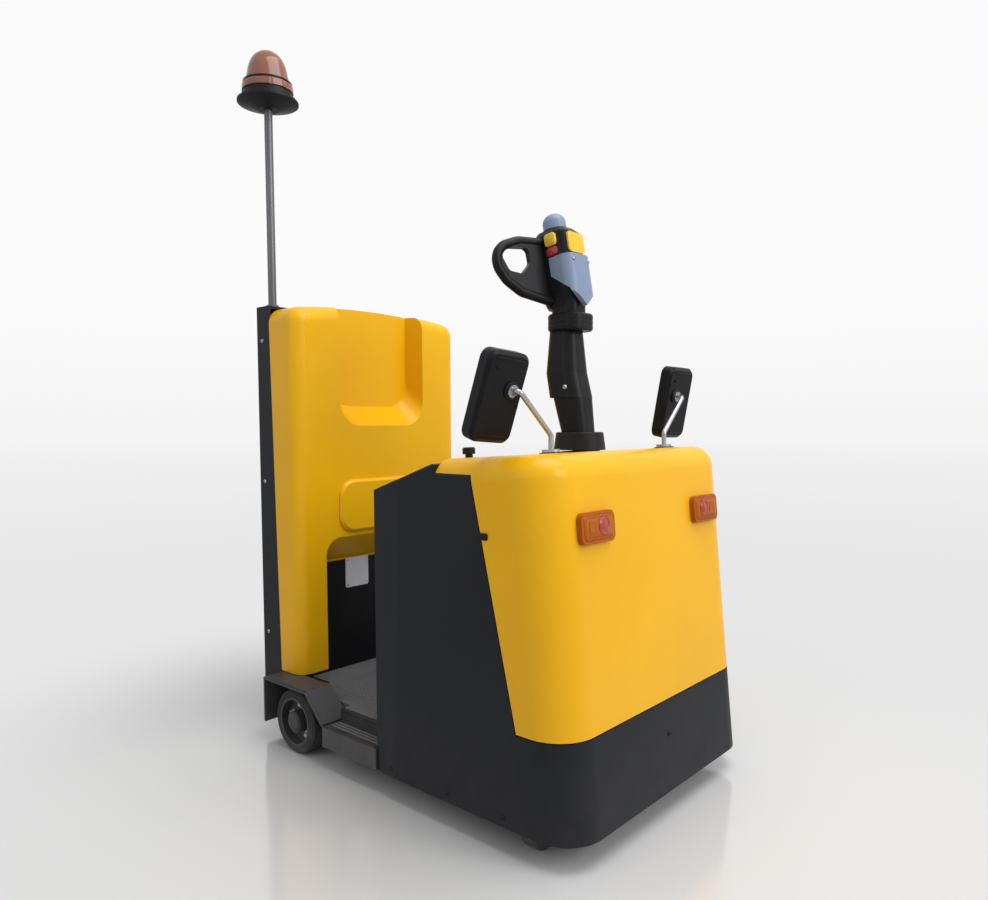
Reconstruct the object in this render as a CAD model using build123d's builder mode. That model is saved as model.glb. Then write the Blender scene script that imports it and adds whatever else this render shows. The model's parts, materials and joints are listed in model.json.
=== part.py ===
import math
import os

from build123d import *

os.makedirs("parts", exist_ok=True)

# Stand-on tow tractor, millimetres. +X points forward, +Y to the left, +Z up.
# The origin is on the floor, under the middle of the whole machine.

# Overall body
body_width = 800.0
front_x = 660.0
rear_x = -566.0
skirt_z = 60.0
front_rake = 0.097
corner_radius = 95.0
panel_wall = 10.0
seat_gap = 0.3
half_width = body_width / 2

# Front bumper
bumper_top_z = 272.0
bumper_wall = 12.0
lip_height = 20.0
lip_gap = 0.5
seam_gap = 3.0

# Hood
hood_wall = 6.0
hood_rear_x = 264.0
hood_rear_top_z = 852.0
hood_slope = 0.063
hood_edge_radius = 55.0
seam_top_x = 374.0
seam_bottom_x = 504.0
pod_top_z = 821.0

# Side panels of the battery bay, with a slanted band along the rear edge
pod_rear_x = 45.0
pod_rear_top_z = 770.0
pod_peak_x = 252.0
pod_peak_z = 841.0
pod_flange = 45.0
pod_edge_radius = 6.0
band_inset = 6.0
band_low_x = 117.0
band_high_x = 147.0

# Console between the side panels
console_wall = 8.0
console_drop = 8.0
console_gap = 0.5

# Platform and chassis
plate = 10.0
tray_wall = 6.0
floor_z = 142.0
mat_thickness = 8.0
mat_margin = 6.0
sill_width = 65.0
sill_top_z = 115.0
rail_thickness = 10.0
rail_step_z = 160.0
rail_front_gap = 4.0
rail_castor_gap = 100.0
rail_slant = 10.0
bulkhead_x = 246.0
front_plate_z = 250.0
front_plate_thickness = 12.0
castor_tower_size = 110.0
castor_tower_z = 150.0
castor_tower_corner = 8.0
tray_half_width = half_width - sill_width
bay_half_width = half_width - panel_wall - rail_thickness

# Battery
battery_gap = 4.0
battery_side_gap = 68.0
battery_height = 627.0
battery_corner = 6.0

# Rear wheels
rear_wheel_x = -320.0
rear_wheel_radius = 90.0
rear_wheel_width = 69.0
rear_wheel_inset = 8.0
rear_wheel_gap = 11.0
rear_tread = 22.0
rear_shoulder = 6.0
rear_hub_radius = 30.0
rear_axle_radius = 12.5
rear_wheel_y = half_width - rear_wheel_inset - rear_wheel_width / 2
wheel_pocket_half_width = half_width - rear_wheel_inset - rear_wheel_width - rear_wheel_gap

# Fenders
pocket_front_x = -178.0
fender_slope_x = -254.0
fender_wall = 6.0
fender_top_z = 192.0
fender_rear_x = -461.0
fender_skirt_z = 150.0
fender_skirt_slant = 25.0
fender_lip = 4.0
fender_toe = 5.0

# Running fits
running_gap = 0.05
thrust_gap = 1.0

# Castors, turned to the side as they stand after a move
castor_x = 515.0
castor_inset = 104.0
castor_heading = 90.0
castor_trail = 22.0
castor_radius = 60.0
castor_width = 40.0
castor_tread = 16.0
castor_shoulder = 5.0
castor_hub_radius = 16.0
castor_axle_radius = 6.0
castor_pin_radius = 10.0
castor_pin_length = 30.0
castor_race_radius = 22.0
castor_cheek = 5.0
castor_cheek_gap = 3.0
castor_boss_radius = 16.0
castor_fork_reach = 26.0
castor_crown_z = 130.0
castor_crown_thickness = 10.0
castor_crown_radius = 38.0
castor_y = half_width - castor_inset

# Drive unit and steering
steer_x = 384.0
drive_radius = 115.0
drive_width = 70.0
drive_tread = 25.0
drive_shoulder = 5.0
drive_hub_radius = 38.0
drive_axle_radius = 15.0
gearbox_gap = 6.0
gearbox_depth = 44.0
gearbox_radius = 55.0
turntable_radius = 62.0
turntable_flange_radius = 90.0
turntable_flange = 10.0
motor_radius = 75.0
motor_height = 240.0
motor_edge = 10.0
steering_shaft_radius = 18.0
hood_hole_radius = 40.0

# Backrest
back_inset = 72.0
back_top_z = 1281.0
back_sheet = 8.0
back_flange_top_x = -504.0
back_flange_bottom_x = -474.0
cover_front_x = -375.0
cover_bottom_z = 193.0
cover_side_top_z = 1268.0
cover_crown_z = 1290.0
cover_corner_radius = 46.0
cover_edge_radius = 42.0
scoop_depth = 70.0
scoop_half_width = 172.0
scoop_back_half_width = 158.0
scoop_lip_z = 915.0
scoop_back_z = 988.0
scoop_corner_radius = 75.0
pad_half_width = 180.0
pad_bottom_z = 602.0
pad_top_z = 762.0
pad_depth = 13.0
pad_corner_radius = 50.0
pad_bevel = 8.0
arch_half_width = 230.0
arch_top_z = 590.0
arch_corner_radius = 55.0
arch_back_x = -465.0
arch_back_top_z = 505.0
panel_thickness = 6.0
panel_gap = 6.0
panel_side_gap = 1.0
back_half_width = half_width - back_inset

# Bare plate on the panel
blank_plate_y = -46.0
blank_plate_z = 455.0
blank_plate_width = 92.0
blank_plate_height = 96.0
blank_plate_corner = 6.0
blank_plate_thickness = 2.0

# Rear coupling
coupling_z = 300.0
coupling_reach = 94.0
coupling_plate = 12.0
coupling_plate_width = 150.0
coupling_plate_height = 180.0
coupling_plate_corner = 12.0
jaw_width = 90.0
jaw_plate = 16.0
jaw_gap = 46.0
jaw_nose_flat = 24.0
tow_pin_radius = 12.5
tow_pin_inset = 34.0
tow_pin_tail = 10.0
tow_pin_neck = 26.0
tow_pin_collar_radius = 20.0
tow_pin_collar = 8.0
tow_pin_head_radius = 17.0
tow_pin_head = 14.0
tow_pin_head_edge = 4.0

# Beacon on its pole; the two profiles give radius and height above the pole
pole_x = -524.0
pole_inset = 28.0
pole_radius = 12.0
pole_top_z = 1852.0
pole_foot_radius = 18.0
pole_foot = 5.0
beacon_base_height = 70.0
beacon_height = 168.0
beacon_profile = ((30, 0), (78, 16), (88, 19), (88, 24), (72, 32), (68, beacon_base_height))
dome_radius = 64.0
dome_shoulder_radius = 57.0
dome_shoulder_height = 108.0
dome_crown_radius = 42.0
dome_crown_height = 146.0
dome_flat_radius = 6.0
pole_y = -(back_half_width - pole_inset)

# Tiller column and ring
collar_radius = 66.0
collar_top_z = 910.0
collar_gap = 6.0
collar_taper = 8.0
collar_edge = 4.0
column_step_z = 997.0
column_waist_z = 1060.0
column_top_z = 1165.0
ring_x = 354.0
ring_depth = 104.0
ring_width = 96.0
ring_corner_radius = 34.0
ring_height = 43.0
ring_edge = 4.0

# Column sections: height, centre x, depth along x, width along y, corner radius
neck_sections = (
    (collar_top_z, 379, 78, 74, 28),
    (column_step_z, 362, 90, 84, 30),
)
shell_sections = (
    (column_step_z, 357, 100, 90, 32),
    (column_waist_z, 343, 96, 88, 32),
    (column_top_z, 341, 78, 72, 27),
)

# Tiller head, measured along its own leaning axis
head_x = 343.0
head_tilt = 10.0
head_depth = 108.0
head_width = 92.0
head_corner_radius = 24.0
head_low = 60.0
head_high = 200.0
head_top = 215.0
head_foot = 18.0
head_neck_height = 40.0

# Head sections below and above the straight part: height, depth, width, corner radius
head_foot_section = (head_foot, 80, 74, 24)
head_low_section = (head_low, head_depth, head_width, head_corner_radius)
head_high_section = (head_high, head_depth, head_width, head_corner_radius)
head_top_section = (head_top, 80, 72, 20)

# Steering loops: points outward and up from the head's foot, in each loop's own plane
loop_sweep = 15.0
loop_setback = 6.0
loop_radius = 12.0
loop_bend = 44.0
loop_web = 16.0
loop_hole_bend = 14.0
loop_points = ((20, 30), (128, 56), (168, 84), (205, 138), (163, 172), (118, 186), (20, 186))
loop_hole_points = ((94, 169), (158, 166), (178, 142), (160, 106), (122, 100), (92, 130))

# Head cover, buttons and dome
cap_front = 12.0
cap_side = 5.0
cap_back = 4.0
cap_corner_radius = 28.0
cap_top = 138.0
cap_side_low = 92.0
cap_front_low = 50.0
cap_tip = 8.0
plaque_width = 66.0
plaque_low = 144.0
plaque_high = 196.0
plaque_corner = 10.0
plaque_thickness = 5.0
paddle_forward = 15.0
paddle_up = 183.0
paddle_width = 34.0
paddle_height = 32.0
paddle_corner = 9.0
paddle_thickness = 8.0
side_button_up = 153.0
side_button_width = 34.0
side_button_height = 22.0
side_button_corner = 9.0
side_button_thickness = 6.0
reverse_button_up = 112.0
reverse_button_radius = 19.0
reverse_button_thickness = 10.0
tiller_dome_radius = 30.0
tiller_dome_height = 46.0
tiller_dome_edge = 24.0

# Lamps
lamp_inset = 153.0
lamp_z = 710.0
lamp_width = 124.0
lamp_height = 68.0
lamp_depth = 14.0
lamp_corner_radius = 16.0
lamp_rim = 7.0
lamp_lens_rise = 6.0
lamp_lens_edge = 4.0
lamp_y = half_width - lamp_inset

# Mirrors
mirror_inset = 20.0
mirror_x = 438.0
mirror_z = 990.0
mirror_width = 122.0
mirror_height = 200.0
mirror_depth = 32.0
mirror_corner_radius = 24.0
mirror_bevel = 8.0
mirror_rim = 7.0
mirror_recess = 4.0
mirror_glass_thickness = 3.0
mirror_arm_radius = 6.0
mirror_arm_bend = 12.0
mirror_arm_rise = 40.0
mirror_arm_reach = 20.0
mirror_joint_in = 20.0
mirror_joint_up = 20.0
mirror_joint_radius = 14.0
mirror_joint = 9.0
mirror_foot_x = 484.0
mirror_foot_inset = 150.0
mirror_foot_radius = 20.0
mirror_foot = 9.0
mirror_y = half_width - mirror_inset
mirror_foot_y = half_width - mirror_foot_inset

# How each mirror is set: side, toe, lean, roll in degrees
mirror_settings = (
    (-1, 6.3, 17.1, -4.4),
    (1, -3.4, 10.4, -0.5),
)

# Knob on the hood
knob_forward = 26.0
knob_inset = 90.0
knob_stem_radius = 9.0
knob_stem = 8.0
knob_radius = 15.0
knob_height = 16.0
knob_edge = 3.0


def front_line_x(z):
    """Place of the raked front face at a height."""
    return front_x - front_rake * (z - skirt_z)


def deck_z(x):
    """Height of the gently rising hood top."""
    return hood_rear_top_z + hood_slope * (x - hood_rear_x)


def deck_plane(x, y):
    """Plane lying on the hood top."""
    return Plane(origin=(x, y, deck_z(x)), x_dir=(1, 0, hood_slope), z_dir=(-hood_slope, 0, 1))


def save(part, name):
    """Label a finished piece and write it."""
    part.label = name
    export_step(part, "parts/" + name + ".step")


def body_block(inset, outline, edge_radius=0.0):
    """Side outline drawn on the XZ plane, made as wide as the body and rounded at its front corners."""
    reach = half_width - inset
    with BuildPart() as block:
        with BuildSketch(Plane.XZ.offset(-reach)):
            with BuildLine():
                Polyline(outline, close=True)
            make_face()
        extrude(amount=2 * reach)
        front_edges = (
            block.edges()
            .filter_by(lambda e: abs((e @ 0).Y - (e @ 1).Y) < 0.01 and abs((e @ 0).Z - (e @ 1).Z) > 5)
            .group_by(lambda e: (e @ 0.5).X)[-1]
        )
        fillet(front_edges, corner_radius - inset)
        if edge_radius:
            top = block.faces().sort_by(Axis.Z)[-1]
            rear = outline[0][0]
            fillet([e for e in top.edges() if (e @ 0.5).X > rear + 1], edge_radius - inset)
    return block.part


bay_rear_x = pod_rear_x + panel_wall + seat_gap
plate_top_z = front_plate_z + front_plate_thickness

# Chassis
with BuildPart() as chassis_frame:
    # Rear tray, open below, with a pocket for each rear wheel
    with BuildSketch(Plane.XY.offset(skirt_z)):
        with BuildLine():
            Polyline(
                (rear_x + back_sheet, -(back_half_width - back_sheet)),
                (back_flange_bottom_x, -(back_half_width - back_sheet)),
                (back_flange_bottom_x, -wheel_pocket_half_width),
                (pocket_front_x, -wheel_pocket_half_width),
                (pocket_front_x, -tray_half_width),
                (pod_rear_x, -tray_half_width),
                (pod_rear_x, tray_half_width),
                (pocket_front_x, tray_half_width),
                (pocket_front_x, wheel_pocket_half_width),
                (back_flange_bottom_x, wheel_pocket_half_width),
                (back_flange_bottom_x, back_half_width - back_sheet),
                (rear_x + back_sheet, back_half_width - back_sheet),
                close=True,
            )
        make_face()
    extrude(amount=floor_z - skirt_z)
    with BuildSketch(Plane.XY.offset(skirt_z)):
        with BuildLine():
            Polyline(
                (rear_x + back_sheet + tray_wall, -(wheel_pocket_half_width - tray_wall)),
                (pocket_front_x + tray_wall, -(wheel_pocket_half_width - tray_wall)),
                (pocket_front_x + tray_wall, -(tray_half_width - tray_wall)),
                (pod_rear_x - tray_wall, -(tray_half_width - tray_wall)),
                (pod_rear_x - tray_wall, tray_half_width - tray_wall),
                (pocket_front_x + tray_wall, tray_half_width - tray_wall),
                (pocket_front_x + tray_wall, wheel_pocket_half_width - tray_wall),
                (rear_x + back_sheet + tray_wall, wheel_pocket_half_width - tray_wall),
                close=True,
            )
        make_face()
    extrude(amount=floor_z - skirt_z - tray_wall, mode=Mode.SUBTRACT)
    # Step beside the platform
    for side in (-1, 1):
        with BuildSketch(Plane.XY.offset(skirt_z)):
            with Locations(((pocket_front_x + pod_rear_x) / 2, side * (half_width + tray_half_width) / 2)):
                Rectangle(pod_rear_x - pocket_front_x, half_width - tray_half_width)
        extrude(amount=sill_top_z - skirt_z)
    # Battery floor and bulkhead
    with BuildSketch(Plane.XY.offset(skirt_z)):
        with Locations(((bay_rear_x + bulkhead_x) / 2, 0)):
            Rectangle(bulkhead_x - bay_rear_x, 2 * bay_half_width)
        with Locations(((pod_rear_x + bulkhead_x) / 2, 0)):
            Rectangle(bulkhead_x - pod_rear_x, 2 * tray_half_width)
    extrude(amount=plate)
    with BuildSketch(Plane.YZ.offset(bulkhead_x)):
        with Locations((0, (skirt_z + front_plate_z) / 2)):
            Rectangle(2 * bay_half_width, front_plate_z - skirt_z)
    extrude(amount=plate)
    # Long rails inside the side panels
    for side in (-1, 1):
        with BuildSketch(Plane.XZ.offset(-side * (bay_half_width + half_width - panel_wall) / 2)):
            with BuildLine():
                Polyline(
                    (bay_rear_x, skirt_z),
                    (bay_rear_x, plate_top_z),
                    (seam_bottom_x - rail_front_gap, plate_top_z),
                    (seam_bottom_x - rail_front_gap, rail_step_z),
                    (castor_x - rail_castor_gap, rail_step_z),
                    (castor_x - rail_castor_gap - rail_slant, skirt_z),
                    close=True,
                )
            make_face()
        extrude(amount=(half_width - panel_wall - bay_half_width) / 2, both=True)
    # Front plate with the turntable hole and a tower over each castor
    add(body_block(bumper_wall + seat_gap, [
        (bulkhead_x, front_plate_z),
        (front_line_x(front_plate_z) - bumper_wall - seat_gap, front_plate_z),
        (front_line_x(plate_top_z) - bumper_wall - seat_gap, plate_top_z),
        (bulkhead_x, plate_top_z),
    ]))
    with Locations((steer_x, 0, front_plate_z)):
        Cylinder(turntable_radius, 2 * front_plate_thickness + 1, mode=Mode.SUBTRACT)
    with BuildSketch(Plane.XY.offset(castor_tower_z)):
        with Locations((castor_x, castor_y), (castor_x, -castor_y)):
            RectangleRounded(castor_tower_size, castor_tower_size, castor_tower_corner)
    extrude(amount=front_plate_z - castor_tower_z)
    with Locations((castor_x, castor_y, castor_tower_z), (castor_x, -castor_y, castor_tower_z)):
        Cylinder(castor_pin_radius + running_gap, castor_tower_size, mode=Mode.SUBTRACT)
    # Bores for the rear axle
    with Locations(Location((rear_wheel_x, 0, rear_wheel_radius), (90, 0, 0))):
        Cylinder(rear_axle_radius + running_gap, body_width, mode=Mode.SUBTRACT)
save(chassis_frame.part, "chassis_frame")

with BuildPart() as platform_mat:
    with BuildSketch(Plane.XY.offset(floor_z)):
        with BuildLine():
            Polyline(
                (arch_back_x, -(arch_half_width - mat_margin)),
                (cover_front_x, -(arch_half_width - mat_margin)),
                (cover_front_x, -(wheel_pocket_half_width - mat_margin)),
                (pocket_front_x + mat_margin, -(wheel_pocket_half_width - mat_margin)),
                (pocket_front_x + mat_margin, -(tray_half_width - mat_margin)),
                (pod_rear_x, -(tray_half_width - mat_margin)),
                (pod_rear_x, tray_half_width - mat_margin),
                (pocket_front_x + mat_margin, tray_half_width - mat_margin),
                (pocket_front_x + mat_margin, wheel_pocket_half_width - mat_margin),
                (cover_front_x, wheel_pocket_half_width - mat_margin),
                (cover_front_x, arch_half_width - mat_margin),
                (arch_back_x, arch_half_width - mat_margin),
                close=True,
            )
        make_face()
    extrude(amount=mat_thickness)
save(platform_mat.part, "platform_mat")

with BuildPart() as battery_block:
    with BuildSketch(Plane.XY.offset(skirt_z + plate)):
        with Locations(((pod_rear_x + console_wall + bulkhead_x) / 2, 0)):
            RectangleRounded(
                bulkhead_x - pod_rear_x - console_wall - battery_gap,
                2 * (bay_half_width - battery_side_gap), battery_corner)
    extrude(amount=battery_height)
save(battery_block.part, "battery_block")

# Front bumper band with the lip that the hood sits over
band_outline = [
    (seam_bottom_x, skirt_z),
    (front_line_x(skirt_z), skirt_z),
    (front_line_x(bumper_top_z), bumper_top_z),
    (seam_bottom_x, bumper_top_z),
]


def inner_outline(inset, rear, low, high):
    """Outline of the space behind a wall, a little past the ends that stay open."""
    return [
        (rear, low),
        (front_line_x(low) - inset, low),
        (front_line_x(high) - inset, high),
        (rear, high),
    ]


with BuildPart() as front_bumper:
    add(body_block(0, band_outline))
    add(body_block(hood_wall + lip_gap, inner_outline(
        hood_wall + lip_gap, seam_bottom_x, bumper_top_z - 10, bumper_top_z + lip_height)))
    add(body_block(bumper_wall, inner_outline(
        bumper_wall, seam_bottom_x - 10, skirt_z - 10, bumper_top_z + lip_height + 10)), mode=Mode.SUBTRACT)
save(front_bumper.part, "front_bumper")

# Hood shell, open below and along its slanted side edges
hood_bottom_z = bumper_top_z + seam_gap


def hood_body(inset, low_z):
    """Closed block with the hood's outer form, moved in by a wall thickness."""
    top_x = front_line_x(deck_z(front_x)) - inset
    return body_block(inset, [
        (hood_rear_x + inset, low_z),
        (front_line_x(low_z) - inset, low_z),
        (top_x, deck_z(top_x) - inset),
        (hood_rear_x + inset, hood_rear_top_z - inset),
    ], hood_edge_radius)


with BuildPart() as hood:
    add(hood_body(0, bumper_top_z))
    add(hood_body(hood_wall, skirt_z), mode=Mode.SUBTRACT)
    with BuildSketch(Plane.XZ):
        with BuildLine():
            Polyline(
                (pod_rear_x, skirt_z),
                (pod_rear_x, pod_top_z),
                (seam_top_x + seam_gap, pod_top_z),
                (seam_bottom_x + seam_gap, hood_bottom_z),
                (front_x + 10, hood_bottom_z),
                (front_x + 10, skirt_z),
                close=True,
            )
        make_face()
    extrude(amount=body_width, both=True, mode=Mode.SUBTRACT)
    with Locations((steer_x, 0, deck_z(steer_x))):
        Cylinder(hood_hole_radius, 100, mode=Mode.SUBTRACT)
save(hood.part, "hood")

# Side panels of the battery bay: a wall with a flange turned in along its rear and top edges
pod_outline = [
    (pod_rear_x, skirt_z),
    (seam_bottom_x, skirt_z),
    (seam_bottom_x, hood_bottom_z),
    (seam_top_x, pod_top_z),
    (hood_rear_x - seat_gap, pod_top_z),
    (hood_rear_x - seat_gap, pod_peak_z - 2),
    (pod_peak_x, pod_peak_z),
    (pod_rear_x, pod_rear_top_z),
]


def band_space(side):
    """Wedge outside a side panel's slanted rear band."""
    with BuildPart() as space:
        for z, crease_x in ((skirt_z, band_low_x), (pod_peak_z, band_high_x)):
            with BuildSketch(Plane.XY.offset(z)):
                with BuildLine():
                    Polyline(
                        (pod_rear_x, side * (half_width - band_inset)),
                        (crease_x, side * half_width),
                        (pod_rear_x, side * half_width),
                        close=True,
                    )
                make_face()
        loft(ruled=True)
    return space.part


for side, name in ((-1, "side_panel_right"), (1, "side_panel_left")):
    with BuildPart() as side_panel:
        with BuildSketch(Plane.XZ.offset(-side * (half_width - pod_flange))) as pod_side:
            with BuildLine():
                Polyline(pod_outline, close=True)
            make_face()
        extrude(amount=-side * pod_flange)
        with BuildSketch(Plane.XZ.offset(-side * (half_width - panel_wall))):
            with BuildLine():
                Polyline(
                    (pod_rear_x + panel_wall, skirt_z - 5),
                    (seam_bottom_x + 5, skirt_z - 5),
                    (seam_bottom_x + 5, hood_bottom_z),
                    (seam_top_x + 5, pod_top_z - panel_wall),
                    (pod_peak_x - 60, pod_top_z - panel_wall),
                    (pod_rear_x + panel_wall, pod_rear_top_z - panel_wall + 3),
                    close=True,
                )
            make_face()
        extrude(amount=side * pod_flange, mode=Mode.SUBTRACT)
        outer = side_panel.faces().sort_by(Axis.Y)[0 if side < 0 else -1]
        fillet(outer.edges().filter_by(lambda e: (e @ 0.5).X < seam_top_x - 50 and (e @ 0.5).Z > floor_z), pod_edge_radius)
        add(band_space(side), mode=Mode.SUBTRACT)
    save(side_panel.part, name)

# Console: front wall of the operator's place and the sloping top over the battery
console_half_width = half_width - pod_flange - console_gap
with BuildPart() as console:
    with BuildSketch(Plane.XZ):
        with BuildLine():
            Polyline(
                (pod_rear_x, floor_z + mat_thickness),
                (pod_rear_x, pod_rear_top_z - console_drop),
                (pod_peak_x, pod_peak_z - console_drop),
                (hood_rear_x - seat_gap, pod_peak_z - console_drop),
                (hood_rear_x - seat_gap, pod_peak_z - console_drop - console_wall),
                (pod_peak_x, pod_peak_z - console_drop - console_wall),
                (pod_rear_x + console_wall, pod_rear_top_z - console_drop - console_wall),
                (pod_rear_x + console_wall, floor_z + mat_thickness),
                close=True,
            )
        make_face()
    extrude(amount=console_half_width, both=True)
save(console.part, "console")

# Fenders over the rear wheels
for side, name in ((-1, "fender_right"), (1, "fender_left")):
    with BuildPart() as fender:
        with BuildSketch(Plane.XZ.offset(-side * (wheel_pocket_half_width + seat_gap))):
            with BuildLine():
                Polyline(
                    (fender_rear_x, skirt_z),
                    (fender_rear_x, fender_top_z),
                    (fender_slope_x, fender_top_z),
                    (pocket_front_x, sill_top_z + fender_toe),
                    (pocket_front_x, sill_top_z),
                    (pocket_front_x - fender_wall, sill_top_z),
                    (fender_slope_x - fender_wall / 2, fender_top_z - fender_wall),
                    (fender_rear_x + fender_wall, fender_top_z - fender_wall),
                    (fender_rear_x + fender_wall, skirt_z),
                    close=True,
                )
            make_face()
        extrude(amount=-side * (half_width - wheel_pocket_half_width - seat_gap))
        with BuildSketch(Plane.XZ.offset(-side * half_width)):
            with BuildLine():
                Polyline(
                    (fender_rear_x, fender_skirt_z),
                    (fender_rear_x, fender_top_z),
                    (fender_slope_x, fender_top_z),
                    (pocket_front_x, sill_top_z + fender_toe),
                    (pocket_front_x - fender_skirt_slant, fender_skirt_z),
                    close=True,
                )
            make_face()
        extrude(amount=side * fender_lip)
    save(fender.part, name)

# Rear axle with its wheels
with BuildPart() as rear_axle:
    with Locations(Location((rear_wheel_x, 0, rear_wheel_radius), (90, 0, 0))):
        Cylinder(rear_axle_radius, 2 * (rear_wheel_y + rear_wheel_width / 2))
save(rear_axle.part, "rear_axle")


def make_wheel(facing, radius, width, tread, shoulder, hub_radius, bore_radius, names):
    """A tyre on a rim with a sunk web, centred on a plane that faces along its axle."""
    rim_radius = radius - tread
    with BuildPart() as tyre:
        with BuildSketch(facing.offset(-width / 2)):
            Circle(radius)
            Circle(rim_radius, mode=Mode.SUBTRACT)
        extrude(amount=width)
        chamfer(tyre.edges().filter_by(GeomType.CIRCLE).filter_by(lambda e: e.radius > radius - 1), shoulder)
    save(tyre.part, names[0])
    web = width * 0.3
    with BuildPart() as rim:
        with BuildSketch(facing.offset(-width / 2)):
            Circle(rim_radius)
            Circle(bore_radius, mode=Mode.SUBTRACT)
        extrude(amount=width)
        for end in (-1, 1):
            with BuildSketch(facing.offset(end * width / 2)):
                Circle(rim_radius - 6)
                Circle(hub_radius, mode=Mode.SUBTRACT)
            extrude(amount=-end * (width - web) / 2, mode=Mode.SUBTRACT)
    save(rim.part, names[1])


def side_facing(x, y, z):
    """Plane at a wheel's centre that faces to the left."""
    return Plane(origin=(x, y, z), x_dir=(1, 0, 0), z_dir=(0, 1, 0))


heading = math.radians(castor_heading)
castor_ahead = Vector(math.cos(heading), math.sin(heading), 0)
castor_across = Vector(-math.sin(heading), math.cos(heading), 0)


def castor_side_plane(side, sideways):
    """Upright plane through a castor's swivel line, its local x along the fork and local y up."""
    pivot = Vector(castor_x, side * castor_y, 0)
    return Plane(origin=pivot + castor_across * sideways, x_dir=castor_ahead, z_dir=castor_across * -1)


for side, word in ((-1, "right"), (1, "left")):
    make_wheel(
        side_facing(rear_wheel_x, side * rear_wheel_y, rear_wheel_radius), rear_wheel_radius, rear_wheel_width,
        rear_tread, rear_shoulder, rear_hub_radius, rear_axle_radius + running_gap,
        ("rear_tyre_" + word, "rear_rim_" + word))
    castor_centre = castor_side_plane(side, 0).from_local_coords((-castor_trail, castor_radius, 0))
    make_wheel(
        Plane(origin=castor_centre, x_dir=castor_ahead, z_dir=castor_across), castor_radius, castor_width,
        castor_tread, castor_shoulder, castor_hub_radius, castor_axle_radius + running_gap,
        ("castor_tyre_" + word, "castor_rim_" + word))

make_wheel(
    side_facing(steer_x, 0, drive_radius), drive_radius, drive_width,
    drive_tread, drive_shoulder, drive_hub_radius, drive_axle_radius + running_gap,
    ("drive_tyre", "drive_rim"))

# Castor forks
cheek_out = castor_width / 2 + castor_cheek_gap + castor_cheek / 2
crown_top_z = castor_crown_z + castor_crown_thickness
for side, word in ((-1, "right"), (1, "left")):
    with BuildPart() as castor_fork:
        crown_plane = Plane(origin=(castor_x, side * castor_y, castor_crown_z), x_dir=castor_ahead, z_dir=(0, 0, 1))
        with BuildSketch(crown_plane):
            Circle(castor_crown_radius)
            with Locations((-castor_trail / 2, 0)):
                Rectangle(castor_trail + 2 * castor_boss_radius, 2 * cheek_out + castor_cheek)
        extrude(amount=castor_crown_thickness)
        for cheek in (-1, 1):
            with BuildSketch(castor_side_plane(side, cheek * cheek_out)):
                with BuildLine():
                    Polyline(
                        (-castor_trail - castor_boss_radius, castor_radius),
                        (-castor_trail + castor_boss_radius, castor_radius),
                        (castor_fork_reach, castor_crown_z + 1),
                        (-castor_trail - castor_boss_radius, castor_crown_z + 1),
                        close=True,
                    )
                make_face()
                with Locations((-castor_trail, castor_radius)):
                    Circle(castor_boss_radius)
            extrude(amount=castor_cheek / 2, both=True)
        with BuildSketch(castor_side_plane(side, 0)):
            with Locations((-castor_trail, castor_radius)):
                Circle(castor_axle_radius)
        extrude(amount=cheek_out + castor_cheek / 2, both=True)
        with BuildSketch(crown_plane.offset(castor_crown_thickness)):
            Circle(castor_race_radius)
        extrude(amount=castor_tower_z - crown_top_z - thrust_gap)
        with BuildSketch(crown_plane.offset(castor_crown_thickness)):
            Circle(castor_pin_radius)
        extrude(amount=castor_pin_length)
    save(castor_fork.part, "castor_fork_" + word)

# Drive unit: gearbox beside the wheel, turntable hub through the front plate, motor above
turntable_z = front_plate_z - thrust_gap
with BuildPart() as drive_gearbox:
    gearbox_y = drive_width / 2 + gearbox_gap
    with BuildSketch(Plane.XZ.offset(-gearbox_y)):
        with Locations((steer_x, drive_radius)):
            Circle(gearbox_radius)
        with Locations((steer_x, (drive_radius + turntable_z - turntable_flange / 2) / 2)):
            Rectangle(2 * gearbox_radius, turntable_z - turntable_flange / 2 - drive_radius)
    extrude(amount=-gearbox_depth)
    with Locations(Location((steer_x, gearbox_y, drive_radius), (90, 0, 0))):
        Cylinder(drive_axle_radius, drive_width + 2 * gearbox_gap, align=(Align.CENTER, Align.CENTER, Align.MIN))
    with BuildSketch(Plane.XY.offset(turntable_z)):
        with Locations((steer_x, 0)):
            Circle(turntable_flange_radius)
    extrude(amount=-turntable_flange)
    with BuildSketch(Plane.XY.offset(turntable_z)):
        with Locations((steer_x, 0)):
            Circle(turntable_radius - running_gap)
    extrude(amount=front_plate_thickness + 2 * thrust_gap)
    with BuildSketch(Plane.XY.offset(plate_top_z + thrust_gap)):
        with Locations((steer_x, 0)):
            Circle(turntable_flange_radius)
    extrude(amount=turntable_flange)
save(drive_gearbox.part, "drive_gearbox")

motor_z = plate_top_z + thrust_gap + turntable_flange
with BuildPart() as drive_motor:
    with BuildSketch(Plane.XY.offset(motor_z)):
        with Locations((steer_x, 0)):
            Circle(motor_radius)
    extrude(amount=motor_height)
    chamfer(drive_motor.edges().group_by(Axis.Z)[-1], motor_edge)
save(drive_motor.part, "drive_motor")

collar_z = deck_z(steer_x) + collar_gap
with BuildPart() as steering_shaft:
    with BuildSketch(Plane.XY.offset(motor_z + motor_height)):
        with Locations((steer_x, 0)):
            Circle(steering_shaft_radius)
    extrude(amount=collar_z - motor_z - motor_height)
save(steering_shaft.part, "steering_shaft")

# Tiller
with BuildPart() as tiller_collar:
    with BuildSketch(Plane.XY.offset(collar_z)):
        with Locations((steer_x, 0)):
            Circle(collar_radius)
    extrude(amount=collar_top_z - collar_z, taper=collar_taper)
    fillet(tiller_collar.edges().group_by(Axis.Z)[-1], collar_edge)
save(tiller_collar.part, "tiller_collar")

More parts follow.
